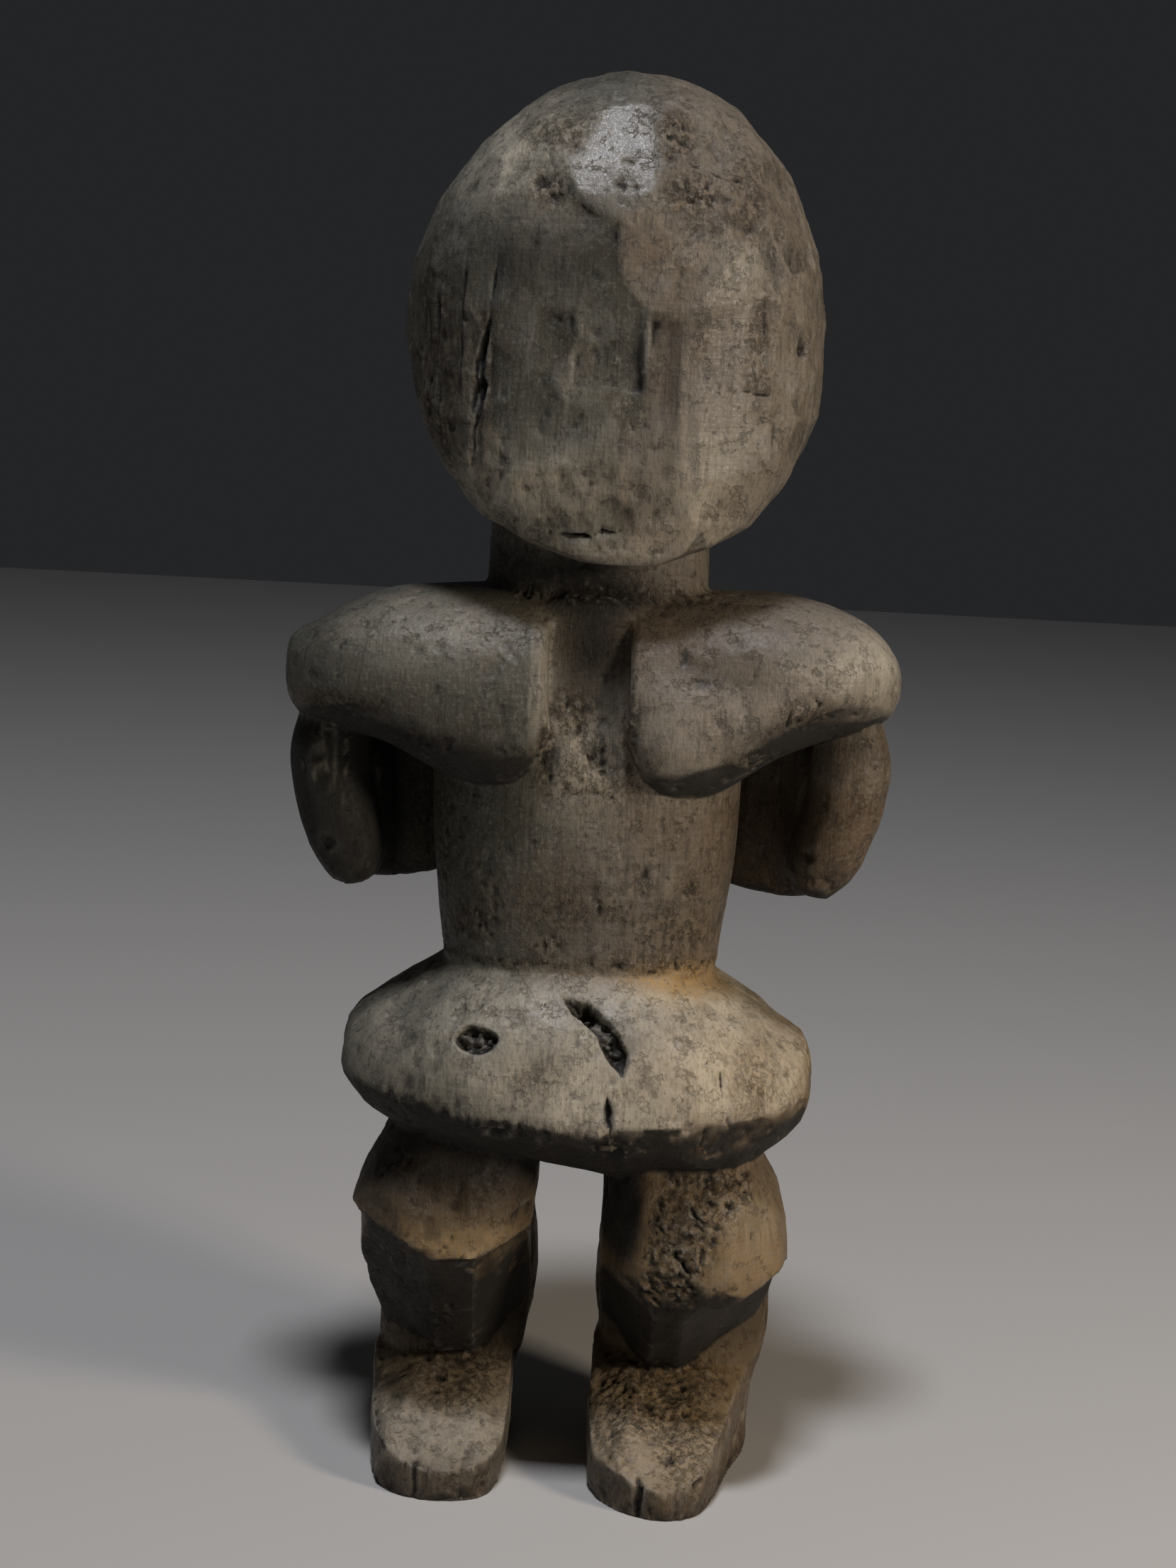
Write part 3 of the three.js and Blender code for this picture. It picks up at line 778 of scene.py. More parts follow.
# What makes the marks uneven: grit, a slow wobble for edges, fibre that runs up the log, and bridges across
# cracks.
grit = layered(skin, 1.9, 21, 2)
fine_grit = layered(skin, 1.3, 23, 1)
wobble = noise(skin, 4.0, 25)
fibre = layered(skin, (1.5, 1.5, 6), 31, 2)
long_fibre = layered(skin, (1.7, 1.7, 18), 33, 2)
breaks = noise(skin, (3, 3, 7), 35)
depth = np.zeros(len(skin))
torn = np.zeros(len(skin))
crack = np.zeros(len(skin))

# The shallow scoops of the adze all over, some 14 mm across, that meet in arrises: clearest on the left of
# the face, fainter on the body, nearly gone on the handled shoulders, the polished crown and the scraped
# cheek.
LEG_TOP = 128
HIP_TOP = 182
BROW = 432
SHOULDER_MIDDLE = 275
CROWN_FACET = [
    (-16, 446), (-9, 457), (-5, 464), (2, 467), (8.5, 466), (11.5, 453), (12.3, 435), (7, 431), (-1, 428),
    (-8, 431), (-14, 436),
]
CHEEK_PLANE = [(22.5, 334), (22.5, 398), (27, 411), (45, 405), (50, 380), (44, 350), (30, 336)]

plain = np.maximum(inside(CROWN_FACET, 3), 0.8 * inside(CHEEK_PLANE, 5))
on_head = ramp(z, CHIN, CHIN + 8)
handled = np.clip(1 - np.abs(z - SHOULDER_MIDDLE) / 42, 0, 1)
worked = np.where(z < LEG_TOP, 0.9, np.where(z < HIP_TOP, 0.75, 0.25))
worked = on_head + (1 - on_head) * worked * (1 - 0.6 * handled)
plane, edge, scoop = chips(skin, (14, 14, 16), 71)
depth += worked * (1 - plain) * (1.5 * (scoop - 0.35) + 0.45 * plane * np.clip(edge * 8, 0, 1))
# facet_tone: each scoop painted darker where its tilted plane sinks in and lighter where it stands up, as
# painted shade and light, weaker below the waist and above the brow
facet_tone = np.clip(edge * 12, 0, 1) * worked * (1 - plain) * plane
facet_tone *= np.where((z < WAIST) | (z > BROW), 0.4, 1)
plane, edge, scoop = chips(skin, (6.5, 6.5, 8), 81)
depth += worked * (1 - 0.9 * plain) * (0.20 * (scoop - 0.5) + 0.12 * plane * np.clip(edge * 6, 0, 1))

# Drying cracks: the path of each, its width and its depth. They open in the middle, close at the ends, and
# are bridged here and there by fibre. The crack share is painted near black, as painted shade in the crack.
for path, width, deep in (
    (((-36.6, 421), (-38, 406), (-39, 396), (-40.3, 388), (-40.8, 375), (-42.5, 361), (-43.3, 347)),
     1.3, 1.5),
    (((-39.6, 392), (-41.4, 379), (-40.6, 371), (-42.2, 360)), 2.6, 2.4),
    (((-43.4, 384), (-42.6, 374), (-44.4, 362), (-43.6, 351)), 1.3, 1.3),
    (((-47, 418), (-48, 404), (-48.3, 395), (-48.6, 383), (-49.5, 368)), 1.1, 1.1),
    (((-60, 402), (-59.5, 385), (-58.6, 358)), 1.1, 0.9),
    (((-57, 408), (-56, 380), (-53.6, 349)), 1.0, 0.7),
    (((-46, 395.7), (-43, 396.2), (-40, 396.8)), 0.8, 0.3),
    (((-17.5, 328.6), (-10.8, 327.5), (-3.9, 327.7), (0.6, 329.7), (3, 329), (8.4, 330.6)), 1.1, 1.6),
    (((-10, 327.4), (-3.9, 327.7), (1.5, 329.7)), 1.0, 1.4),
    (((-3.5, 324.5), (-3, 331.5)), 0.9, 1.0),
    (((0.2, 326), (0.6, 333)), 0.9, 1.0),
    (((49, 404), (49.6, 390), (49, 378)), 1.0, 0.6),
    (((41, 377), (45, 376.3), (48.3, 375.6), (56, 375.2)), 1.1, 1.1),
    (((20, 448.2), (28.6, 445.8), (33.3, 443.3), (40, 443)), 1.1, 1.0),
    (((0, 447), (3, 447.6), (5, 446)), 1.2, 0.8),
    (((-3, 440), (0.5, 439.5), (3, 437)), 1.2, 0.8),
    (((0.5, 433.4), (3.5, 432)), 1.1, 0.7),
    (((-24, 455), (-22, 446), (-19, 441), (-18, 432)), 1.1, 0.5),
    (((-17, 352), (-12, 353), (-7, 350.5)), 1.1, 0.4),
    (((11, 148), (11.4, 143), (11.9, 139.8), (13.4, 130.5)), 1.5, 2.6),
    (((48.6, 155), (50.3, 144), (52.2, 134)), 0.9, 1.3),
    (((44.6, 134), (43.6, 127)), 1.0, 1.5),
    (((65.5, 274.5), (65, 270), (64, 266.5)), 1.7, 1.3),
    (((73, 278), (76, 275)), 1.4, 1.0),
    (((36, 93.5), (37.5, 89), (40, 86), (41.8, 82.5)), 1.6, 2.0),
    (((41, 107.5), (43, 103), (47, 100)), 1.5, 1.8),
    (((30, 73), (34, 68.6)), 1.0, 0.8),
    (((-20.8, 240), (-10, 241.8), (4, 242.6), (12, 240)), 1.1, 0.5),
):
    far, place = from_line(path)
    open_here = np.sin(np.pi * place) ** 0.6 * np.clip(0.75 + 1.2 * breaks, 0.15, 1.3)
    half = np.maximum(width / 2 * open_here * (1 + 0.6 * wobble), 0.25)
    groove = np.clip(1.35 - far / half, 0, 1) * facing_front * np.clip(open_here * 1.6, 0, 1)
    groove *= np.clip(1.1 + 0.9 * long_fibre, 0.4, 1)
    depth += deep * groove
    crack = np.maximum(crack, groove * min(1, deep / 1.4))

# The curved slit and the knot hole in the front of the hips: torn hollows with ragged floors, painted dark
# inside as painted shade.
KNOT_HOLE = (-32.5, 160.5)
far, place = from_line((
    (-5, 175), (-0.4, 172.2), (2.8, 170.7), (6.4, 168.3), (9.4, 165.3), (11.9, 162.2), (14.4, 158),
    (16.1, 152),
))
slit_half = through([[0.3], [2.0], [2.7], [2.5], [3.1], [3.1], [2.6], [1.0]], place)[:, 0]
slit_half *= 1 + 0.25 * wobble
slit = np.clip((slit_half + 0.4 - far) / 0.9, 0, 1) * facing_front
slit_deep = through([[1], [5.0], [8.5], [5.0], [4.6], [6.2], [4.6], [1.2]], place)[:, 0]
depth += slit * slit_deep * (0.9 + 0.5 * grit)
knot = patch(KNOT_HOLE, (7.0 + 0.8 * wobble, 4.0 + 0.6 * wobble), 0.2)
depth += knot * (3.4 + 3.0 * grit)
crack = np.maximum(crack, np.maximum(slit, knot) * np.clip(0.6 - 1.3 * grit, 0, 1))

# Small holes, pits and dents: place, radii and depth of each.
for centre, radii, deep in (
    ((-23.9, 129.3), (2.6, 1.9), 3.5),
    ((62.6, 391.5), (1.3, 3.4), 1.4),
    ((53, 418), (4.5, 6), 0.7),
    ((-24, 440), (3.4, 2.8), 0.8),
    ((-20, 435), (2.2, 1.8), 1.0),
    ((-87.5, 217.8), (2.4, 2.4), 1.3),
    ((75.8, 221), (1.8, 1.8), 0.9),
    ((33, 263.7), (3.4, 3.4), 0.4),
    ((-62.5, 14), (3.5, 7), 2.2),
):
    depth += deep * patch(centre, radii, 0.9)

# Where the fibre is torn out and the tool left it rough: place, radii, depth, and how much of the patch is
# torn. It comes out in crumbs on the crown and the feet, in long fibres on the face, and elsewhere in both.
CROWN_FOOT = 425
ANKLE_TOP = 60
tears = np.where((z > CROWN_FOOT) | (z < ANKLE_TOP), 1.1 * grit, 0.5 * fibre + 0.8 * grit)
tears = np.where((z > CHIN) & (z < CROWN_FOOT), 0.9 * long_fibre + 0.3 * grit, tears)
for centre, radii, deep, share in (
    ((1, 438), (9, 6), 0.8, 0.5),
    ((24, 438), (9, 6), 1.1, 0.65),
    ((18, 456), (6, 7), 1.0, 0.6),
    ((-20, 456), (12, 7), 0.5, 0.45),
    ((-22, 437), (6, 6), 0.9, 0.6),
    ((42, 440), (7, 14), 0.7, 0.4),
    ((39, 415), (8, 6), 0.4, 0.2),
    ((48, 390), (3.5, 20), 0.5, 0.35),
    ((28, 392), (3, 8), 0.4, 0.4),
    ((-56, 378), (9, 36), 0.9, 0.6),
    ((-41, 373), (4, 22), 1.2, 0.6),
    ((-6, 268), (8, 8), 0.9, 0.7),
    ((3, 255), (6, 7), 0.8, 0.65),
    ((13, 263), (2.6, 12), 0.9, 0.75),
    ((-14, 256), (3, 12), 0.9, 0.7),
    ((0, 248), (18, 9), 0.5, 0.5),
    ((-35, 195), (7, 8), 0.8, 0.5),
    ((-11, 190), (7, 4), 0.9, 0.5),
    ((9, 203), (11, 4), 0.7, 0.45),
    ((20, 213), (4, 5), 0.9, 0.5),
    ((35, 211), (4, 3), 0.8, 0.55),
    ((22, 186), (14, 3), 0.8, 0.5),
    ((72, 272), (9, 6), 0.8, 0.5),
    ((56, 256), (9, 4), 0.9, 0.5),
    ((-85, 268), (12, 5), 0.6, 0.5),
    ((-60, 256), (14, 5), 0.5, 0.5),
    ((13.3, 126), (6, 3.6), 1.6, 0.8),
    ((-11, 149), (8, 5), 0.6, 0.35),
    ((62, 148), (8, 12), 0.4, 0.3),
    ((-52, 226), (9, 26), 0.5, 0.5),
    ((-14, 204), (22, 10), 0.4, 0.45),
    ((30, 196), (16, 8), 0.4, 0.45),
    ((-41, 57), (5, 18), 0.5, 0.5),
    ((-38, 37), (10, 4), 0.4, 0.6),
    ((-34, 32), (16, 7), 0.45, 0.55),
    ((35, 33), (20, 6), 0.55, 0.6),
    ((30, 27), (14, 5), 0.3, 0.6),
    ((18, 24), (6, 7), 0.25, 0.55),
    ((45, 22), (11, 8), 0.25, 0.5),
):
    where = patch(centre, radii, 0.9)
    rag = np.clip((tears + 2 * share - 1) * 1.8, 0, 1)
    depth += deep * where * rag
    torn = np.maximum(torn, where * share)

# Insect-eaten wood down the front of the right thigh: it has crumbled into small blocks with gaps between
# them, and the gaps are painted dark as painted shade.
EATEN_FROM = 66
EATEN_TO = 112
up_the_thigh = (z - EATEN_FROM) / (EATEN_TO - EATEN_FROM)
eaten_left = through([[23], [25.5], [26], [27], [30]], up_the_thigh)[:, 0]
eaten_right = through([[42], [48], [52], [58], [67]], up_the_thigh)[:, 0]
eaten = ramp(x - eaten_left + wobble, -1, 2) * ramp(eaten_right - x + 3 * wobble, 0, 6)
eaten *= ramp(z, EATEN_FROM + 1, EATEN_FROM + 9) * ramp(z, EATEN_TO + 6, EATEN_TO + 3) * facing_front
block, gap = chips(skin, (2.4, 2.4, 3.2), 41)[:2]
depth += eaten * (0.7 + 0.6 * block + 0.9 * grit)
gaps = eaten * np.clip(1 - gap / 0.24, 0, 1) * np.clip(0.9 + 1.2 * breaks, 0.2, 1)
depth += 0.45 * gaps
torn = np.maximum(torn, 0.5 * eaten)
crack = np.maximum(crack, 0.55 * gaps)

# Rough collars where one mass was cut down to meet the next: pecked round the base of the neck, torn at the
# waist, where the gaps are painted dark as painted shade.
NECK_FOOT = 307.5
WAIST_FOOT = 183.4
pecks = np.clip((0.3 * fibre + 0.9 * grit + 0.5 * fine_grit + 0.25) * 1.6, 0, 1)
neck_foot = np.clip(1.2 - np.abs(z - NECK_FOOT + 2 * wobble) / 3.6, 0, 1)
neck_foot *= ramp(x, 44, 36) * ramp(x, -32, -24)
depth += 0.8 * neck_foot * pecks
waist = np.clip(1.2 - np.abs(z - WAIST_FOOT + 2.2 * wobble) / 1.7, 0, 1) * (np.abs(x) < 60) * (upward < 0.8)
waist_gaps = waist * np.clip((fibre + 0.8 * grit + 0.45) * 1.3, 0, 1)
depth += 0.7 * waist_gaps
crack = np.maximum(crack, 0.5 * waist_gaps)
torn = np.maximum(torn, np.maximum(0.5 * neck_foot, 0.5 * waist))

# The ridge of the hips, nibbled by the tool on its left half into short upright nicks.
RIDGE_LINE = [
    (-66, 141), (-48.4, 138.9), (-38.8, 136.2), (-24.5, 134), (-1.2, 133), (14, 131.5), (40, 132.5),
    (66, 137),
]
NIBBLED_LINE = RIDGE_LINE[:6]
far = from_line(NIBBLED_LINE)[0]
nicks = np.clip(noise(skin, (1.7, 8.0, 5.0), 51) * 1.8, -0.6, 1)
nibbled = np.clip(1.25 - far / 3.0, 0, 1) * facing_front
depth += nibbled * (0.55 * nicks - 0.25 + 0.3 * fibre)
torn = np.maximum(torn, 0.3 * nibbled)

# The right breast is a rounder lobe than the slab above it; toward each armpit the wood is scooped away.
# Each swelling or scoop is a bell: its middle, its half width and half height, how much it sinks to the
# right, and its depth.
for (middle_x, middle_z), (wide, tall), sinks, deep in (
    ((26, 260), (14, 13), 0, -2.6),
    ((76, 268), (14, 6), -0.25, 1.8),
    ((38, 285), (20, 8), 0.2, 3.2),
    ((44, 258), (4, 11), 0, 0.6),
    ((-78, 264), (15, 6), -0.2, 2.0),
):
    across = (x - middle_x) / wide
    up = (z - middle_z + sinks * (x - middle_x)) / tall
    depth += deep * np.exp(-across**2 - up**2) * facing_front

# The polished facet of the crown is one flat cut: what stands above its plane is taken off.
crown_facet = inside(CROWN_FACET, 1.6)
above = skin @ np.array(CROWN_FACING)
above -= np.average(above, weights=crown_facet**2) - 0.4
depth += crown_facet * np.clip(above, -0.5, 3)
torn *= 1 - 0.8 * crown_facet

# The right half of the forehead stands proud of the left with a crisp edge, and so does the strip of face
# under it.
FOREHEAD_LOBE = [
    (1.2, 429), (14, 435), (34, 431), (47, 418), (41, 402), (20.7, 397.5), (9.2, 402), (4.4, 408), (1.2, 415),
]
depth -= 0.55 * inside(FOREHEAD_LOBE, 1.8)
strip = ramp(x, 22.5, 21.7) * ramp(x, 11, 13) * ramp(z, 398, 396) * ramp(z, 362, 364) * facing_front
splits = ramp(x, 17, 16) * np.clip((long_fibre - 0.15) * 3, 0, 1)
depth += strip * (0.35 + 0.35 * long_fibre + 0.9 * splits)
depth += 0.35 * inside(CHEEK_PLANE, 3) * noise(skin, (1.6, 4, 34), 99)

# The sunken band down the middle of the face, between stop cuts, in three blocks: the middle one is deepest
# and goes in toward the right, where a step stands over it; the lowest one leans back and ends on a ledge.
sway = noise(skin, (8, 8, 7), 97)
band = ramp(x + 0.10 * (390 - z) + 1.4 * sway, -11, -9.8) * ramp(x - 1.6 * sway, 11.2, 9.7)
band *= ramp(z + 0.06 * x, 361.6, 362.8) * ramp(z, 412, 394) * facing_front
middle_block = ramp(z - wobble, 373.5, 375.5) * ramp(z - 2 * wobble, 399, 390)
toward_right = ramp(x, -2, 11) ** 1.5
depth += band * (0.25 + 0.03 * np.clip(z - 362, 0, 13) + middle_block * (0.2 + 1.3 * toward_right))
# crisp edges are left a little proud along the cuts: across the band and beside it, round the forehead, and
# down both sides of the channel
for path, rise in (
    (((-9, 390.4), (-1, 390.2), (6.6, 391.1)), 0.25),
    (((-13, 374.6), (-3, 374.3), (8.6, 375.2)), 0.25),
    (((7, 361.3), (15, 360.2), (22.7, 360.2), (36, 358.4)), 0.35),
    (((6.7, 363.9), (5, 352.6), (5.2, 341.3), (7.1, 334)), 0.35),
    (((1.2, 428), (1.2, 415), (4.4, 408), (9.2, 402), (17.2, 399), (21, 398)), 0.3),
    (((22.8, 398), (23.2, 380), (22.9, 360), (22.6, 334)), 0.3),
    (((-20.5, 303), (-20.8, 280), (-20.2, 258)), 0.4),
    (((14.8, 303), (14.6, 285), (14.0, 268)), 0.3),
):
    far, place = from_line(path)
    ends = np.clip(np.minimum(place, 1 - place) * 8, 0, 1)
    depth -= rise * np.clip(1 - far / 1.1, 0, 1) * ends * facing_front

# The cleft between the toes at the right, and the notches of the other toes.
for toe_x, wide, deep in ((28.6, 1.3, 2.4), (-47, 1.0, 0.8), (42, 1.0, 0.7), (-31, 1.0, 0.5)):
    cleft = np.clip(1.3 - np.abs(x - toe_x - 0.5 * wobble) / wide, 0, 1) * ramp(z, 15, 12) * (y < -30)
    depth += deep * cleft * facing_front

# Granular wood on the tops of the feet, and upright fibre on the faces of the toes.
foot_top = ramp(z, 44, 34) * np.clip(upward * 3, 0, 1)
depth += foot_top * (0.5 * layered(skin, 3.6, 91, 2) + 0.35 * grit)
toe_face = ramp(z, 13, 10) * np.clip(forward * 2, 0, 1)
depth += toe_face * 0.28 * noise(skin, (1.8, 4, 14), 95)
torn = np.maximum(torn, 0.2 * toe_face)

# Over all of it: the unevenness of hand work.
depth += 0.25 * layered(skin, 26, 61, 2)
depth += 0.10 * layered(skin, (5, 5, 9), 65, 2)

# Scabs: thin flakes of the old surface have come away here and there, most of them low on the belly and on
# the hips.
ragged = layered(skin, (4.2, 4.2, 6.0), 101, 4)
scabby = 0.10 * np.exp(-((z - 198) / 22) ** 2) + 0.06 * np.exp(-((z - 160) / 16) ** 2)
scabs = (1 - plain) * np.clip((ragged + scabby - 0.30) * 9, 0, 1)
depth += 0.45 * scabs

sole = (upward < -0.8) & (z < 3)
depth = np.where(sole, 0, depth)
carved = skin - out * depth[:, None]
figure.data.vertices.foreach_set("co", (carved * MILLIMETRE).astype(np.float32).ravel())

# Where a mark is a hollow, fine or broad: its depth less the depth round about; the material paints these
# hollows darker, as painted shade with some dirt. Where the wood stands up in an arris: how far it lies
# outside the mean of the skin round it.
edges = np.empty(len(figure.data.edges) * 2, np.int32)
figure.data.edges.foreach_get("vertices", edges)
edges = edges.reshape(-1, 2)
count = np.bincount(edges.ravel(), minlength=len(skin))


def keep(name, values):
    """Stores a number at every corner of the figure, for the material to read."""
    layer = figure.data.attributes.new(name, "FLOAT", "POINT")
    layer.data.foreach_set("value", values.astype(np.float32))


def settled(values, rounds):
    """Values at the corners, each replaced a number of times by the mean of its own and its neighbours'
    mean."""
    for _ in range(rounds):
        total = np.bincount(edges[:, 0], values[edges[:, 1]], len(values))
        total += np.bincount(edges[:, 1], values[edges[:, 0]], len(values))
        values = (values + total / count) / 2
    return values


around_it = settled(depth, 14)
hollow = settled(depth, 1) - around_it
broad_hollow = around_it - settled(around_it, 50)
figure.data.update()
facing = read(figure.data, "normal")
arris = sum((carved[:, k] - settled(carved[:, k], 8)) * facing[:, k] for k in range(3))
keep("torn", torn)
keep("crack", crack)
keep("hollow", 0.5 + hollow)
keep("broad_hollow", 0.5 + broad_hollow)
keep("arris", np.clip(2.5 * arris - 0.25, 0, 1))
keep("facet_tone", 0.5 + 0.5 * facet_tone)

# The skin is then thinned, so that flat stretches have few faces and the marks keep theirs, and held inside
# the box of the solid.
MOST_TRIANGLES = 196000
figure.data.update()
figure.data.calc_loop_triangles()
thin = figure.modifiers.new("thin", "DECIMATE")
thin.ratio = min(1.0, MOST_TRIANGLES / len(figure.data.loop_triangles))
thin.use_collapse_triangulate = True
full_mesh = figure.data
figure.data = finished(figure, "carved_figure")
figure.modifiers.clear()
bpy.data.meshes.remove(full_mesh)
within = np.clip(read(figure.data, "co"), cad_box[0], cad_box[1])
figure.data.vertices.foreach_set("co", within.astype(np.float32).ravel())
figure.data.update()
figure.data.shade_smooth()


# What the eye reads besides shape. Each is a share from 0 to 1 at every corner, which the material reads.
skin, out, facing_front = measured(figure.data)
x, y, z = skin.T
forward = -out[:, 1]
upward = out[:, 2]


def balls(table):
    """Soft balls added up. Each row is a ball's centre, its radii and its share; the ball is the
    exponential of minus the squared distance from its centre, in radii."""
    return sum(
        share * np.exp(-(((skin - centre) / radii) ** 2).sum(axis=1)) for centre, radii, share in table
    )


# Dry: warm, greyish brown wood at the right and on the legs, partly where the dark patina has gone and
# partly painted light from the right, which leaves the left in shade. On the face it begins at crisp
# arrises: each point of the edge is a height and the x from which it is dry and lit.
FACE_EDGE = [
    (325, 9), (334, 7), (341, 5.2), (353, 5), (362, 6.7), (364.5, 11.5), (397, 11.5), (399, 17), (402, 9.2),
    (408, 4.4), (415, 1.2), (430, 1.2), (436, 12), (480, 12),
]
on_face = ramp(z, 322, 328) * facing_front
soft = np.interp(z, [428, 440], [1.6, 26])
dry_and_painted_light = on_face * np.clip((x - np.interp(z, *zip(*FACE_EDGE))) / soft + 0.5, 0, 1)
dry_and_painted_light += (1 - on_face) * ramp(x, -24, 16)
dry_and_painted_light = np.maximum(dry_and_painted_light, 0.7 * ramp(z, 135, 115))

# Earth: browner wood on the legs, the right arm and flank, under every overhang and on the faces of the
# toes, with some in the channel and on the face.
toes = ramp(z, 15, 11) * np.clip(forward * 2, 0, 1)
earth = ramp(z, 134, 118) * ramp(z, 20, 42)
earth += 0.6 * ramp(x, 74, 84) * (z < 266)
earth += 0.7 * ramp(x, 22, 48) * ramp(z, 246, 238)
earth += 0.5 * np.clip(-upward - 0.2, 0, 1)
earth += 0.6 * toes
earth += balls((
    ((6, -36, 292), (34, 16, 18), 0.6), ((34, -40, 294), (18, 16, 12), 0.4),
    ((17, -58, 380), (6, 9, 17), 0.25), ((12, -56, 417), (12, 10, 12), 0.5),
))

# Polish: where hands have worn it smooth, and glossier. Its lighter colour is partly wear and partly a
# painted sheen, on the crown facet, the cheek, the forehead, the shoulders, the breast and beside the slit.
polish_and_sheen = 0.7 * inside(CROWN_FACET, 2.0) + 0.35 * inside(CHEEK_PLANE, 5)
polish_and_sheen += balls((
    ((-2, -50, 449), (18, 20, 17), 0.25), ((39, -53, 416), (9, 9, 7), 0.8),
    ((-10, -52, 170), (8, 26, 6), 0.9), ((11, -52, 171), (6, 26, 7), 0.9),
    ((2, -55, 160), (34, 26, 14), 0.4), ((60, -40, 290), (40, 30, 16), 0.4),
    ((-60, -40, 290), (40, 30, 16), 0.25), ((30, -52, 262), (14, 9, 14), 0.35),
    ((95, -28, 287), (12, 18, 9), 0.5),
))

# Dust: ochre earth in the crease and on the shelf under the waist, on the legs, on the right of the hips
# and on the feet.
dust = 0.5 * np.exp(-((z - 180.5) / 2) ** 2) * (upward > 0.2) * np.clip(x / 40, 0.2, 1)
dust += ramp(z, 122, 92) * (0.15 + 0.25 * (x > 0)) * ramp(z, 22, 42)
dust += 0.35 * np.clip(1 - np.abs(z - 152) / 34, 0, 1) * ramp(x, 10, 50)
dust += 0.35 * ramp(z, 40, 30) * np.clip(upward * 2, 0, 1) * np.clip((x + 10) / 30, 0.3, 1)
dust += balls((
    ((50, -20, 178), (18, 26, 5), 0.9), ((36, -36, 180), (16, 14, 5), 1.2),
    ((-30, -46, 88), (20, 10, 8), 0.7),
))

# Pale: lighter wood on the tops of the feet, the front of the hips, the scraped cheek, the chin and the torn
# breastbone, in places on the crown, the shoulders and the thighs, and in a few scratches on the left arm.
# The scratches are bleached wood; the rest is partly bleached or bruised wood and partly painted light,
# where light falls on tops and on sides that face it.
pale = 0.42 * ramp(z, 36, 26) * np.clip(upward * 3, 0, 1)
for ball in (
    ((30, -52, 345), (15, 15, 17), 1.0), ((-22, -50, 344), (26, 20, 13), 1.0),
    ((-8, -54, 368), (13, 12, 12), 0.25), ((0, -44, 325), (26, 14, 7), 0.8),
    ((-3, -41, 256), (13, 10, 16), 1.0), ((92, -24, 288), (20, 22, 12), 0.85),
    ((-15, -46, 280), (5, 12, 26), 0.6), ((-26, -46, 86), (16, 8, 7), 0.6),
    ((-34, -36, 448), (26, 26, 20), 0.95), ((-58, -34, 294), (28, 24, 12), 0.42),
    ((50, -52, 84), (16, 12, 10), 0.2), ((64, -36, 98), (14, 20, 16), 0.35),
    ((27, -52, 249), (13, 14, 7), 0.8), ((23, -54, 266), (9, 10, 9), 0.3),
    ((39, -50, 416), (9, 12, 7), 0.6),
):
    pale = np.maximum(pale, balls([ball]))
# painted light on the front of the hips, on what faces up and forward, lighter toward the right
hip_front = ramp(z - np.interp(x, *zip(*RIDGE_LINE)), -1, 0.5) * ramp(z, HIP_TOP, HIP_TOP - 7)
hip_front *= ramp(upward + forward, 0.3, 0.8)
pale = np.maximum(pale, hip_front * np.interp(x, [-80, -40, 0, 60], [0.40, 0.52, 0.82, 0.95]))
scratch = np.zeros(len(skin))
for path in (
    ((-90, 258), (-88, 243)), ((-86, 260), (-85, 238)), ((-82, 253), (-82, 242)), ((-93, 250), (-92, 240)),
):
    far = from_line(path)[0]
    scratch = np.maximum(scratch, np.clip(1.3 - far, 0, 1) * facing_front)
pale = np.maximum(pale, 0.3 * scratch)

# Soot and painted shade: the darkest patina and old dirt, with painted shade, first on what faces down,
# less of it on the head.
soot_and_painted_shade = np.clip(-upward * 2.4 - 0.9, 0, 1) * np.where(z > CHIN, 0.2, 1)
soot_and_painted_shade = np.where(z < 140, np.maximum(soot_and_painted_shade, np.clip(-upward * 3 - 0.4, 0, 1)), soot_and_painted_shade)
# painted shade on the left arm, the left thigh and the inner side of the right one
soot_and_painted_shade += 0.95 * ramp(x, -60, -70) * ramp(z, 264, 256) * (z > 190)
soot_and_painted_shade += 0.95 * np.clip(1.3 - np.abs(z - 118) / 24, 0, 1) * ramp(x, -4, -12)
soot_and_painted_shade += 0.9 * ramp(x, 27, 21) * (x > 4) * ramp(z, 84, 92) * ramp(z, 126, 120)
# painted shade on the shins, on the faces of the toes and down the strip of the face
shins = np.clip(1.3 - np.abs(z - 54) / 22, 0, 1) * np.clip(forward + 0.5, 0, 1)
soot_and_painted_shade += 0.85 * shins * np.where(x < 0, 1, 0.8)
soot_and_painted_shade += np.where(x < 0, 0.35, 0.15) * toes
soot_and_painted_shade += 0.32 * on_face * ramp(x, 23, 21.8) * ramp(x, 6, 11) * ramp(z, 399, 397) * (z > 334)
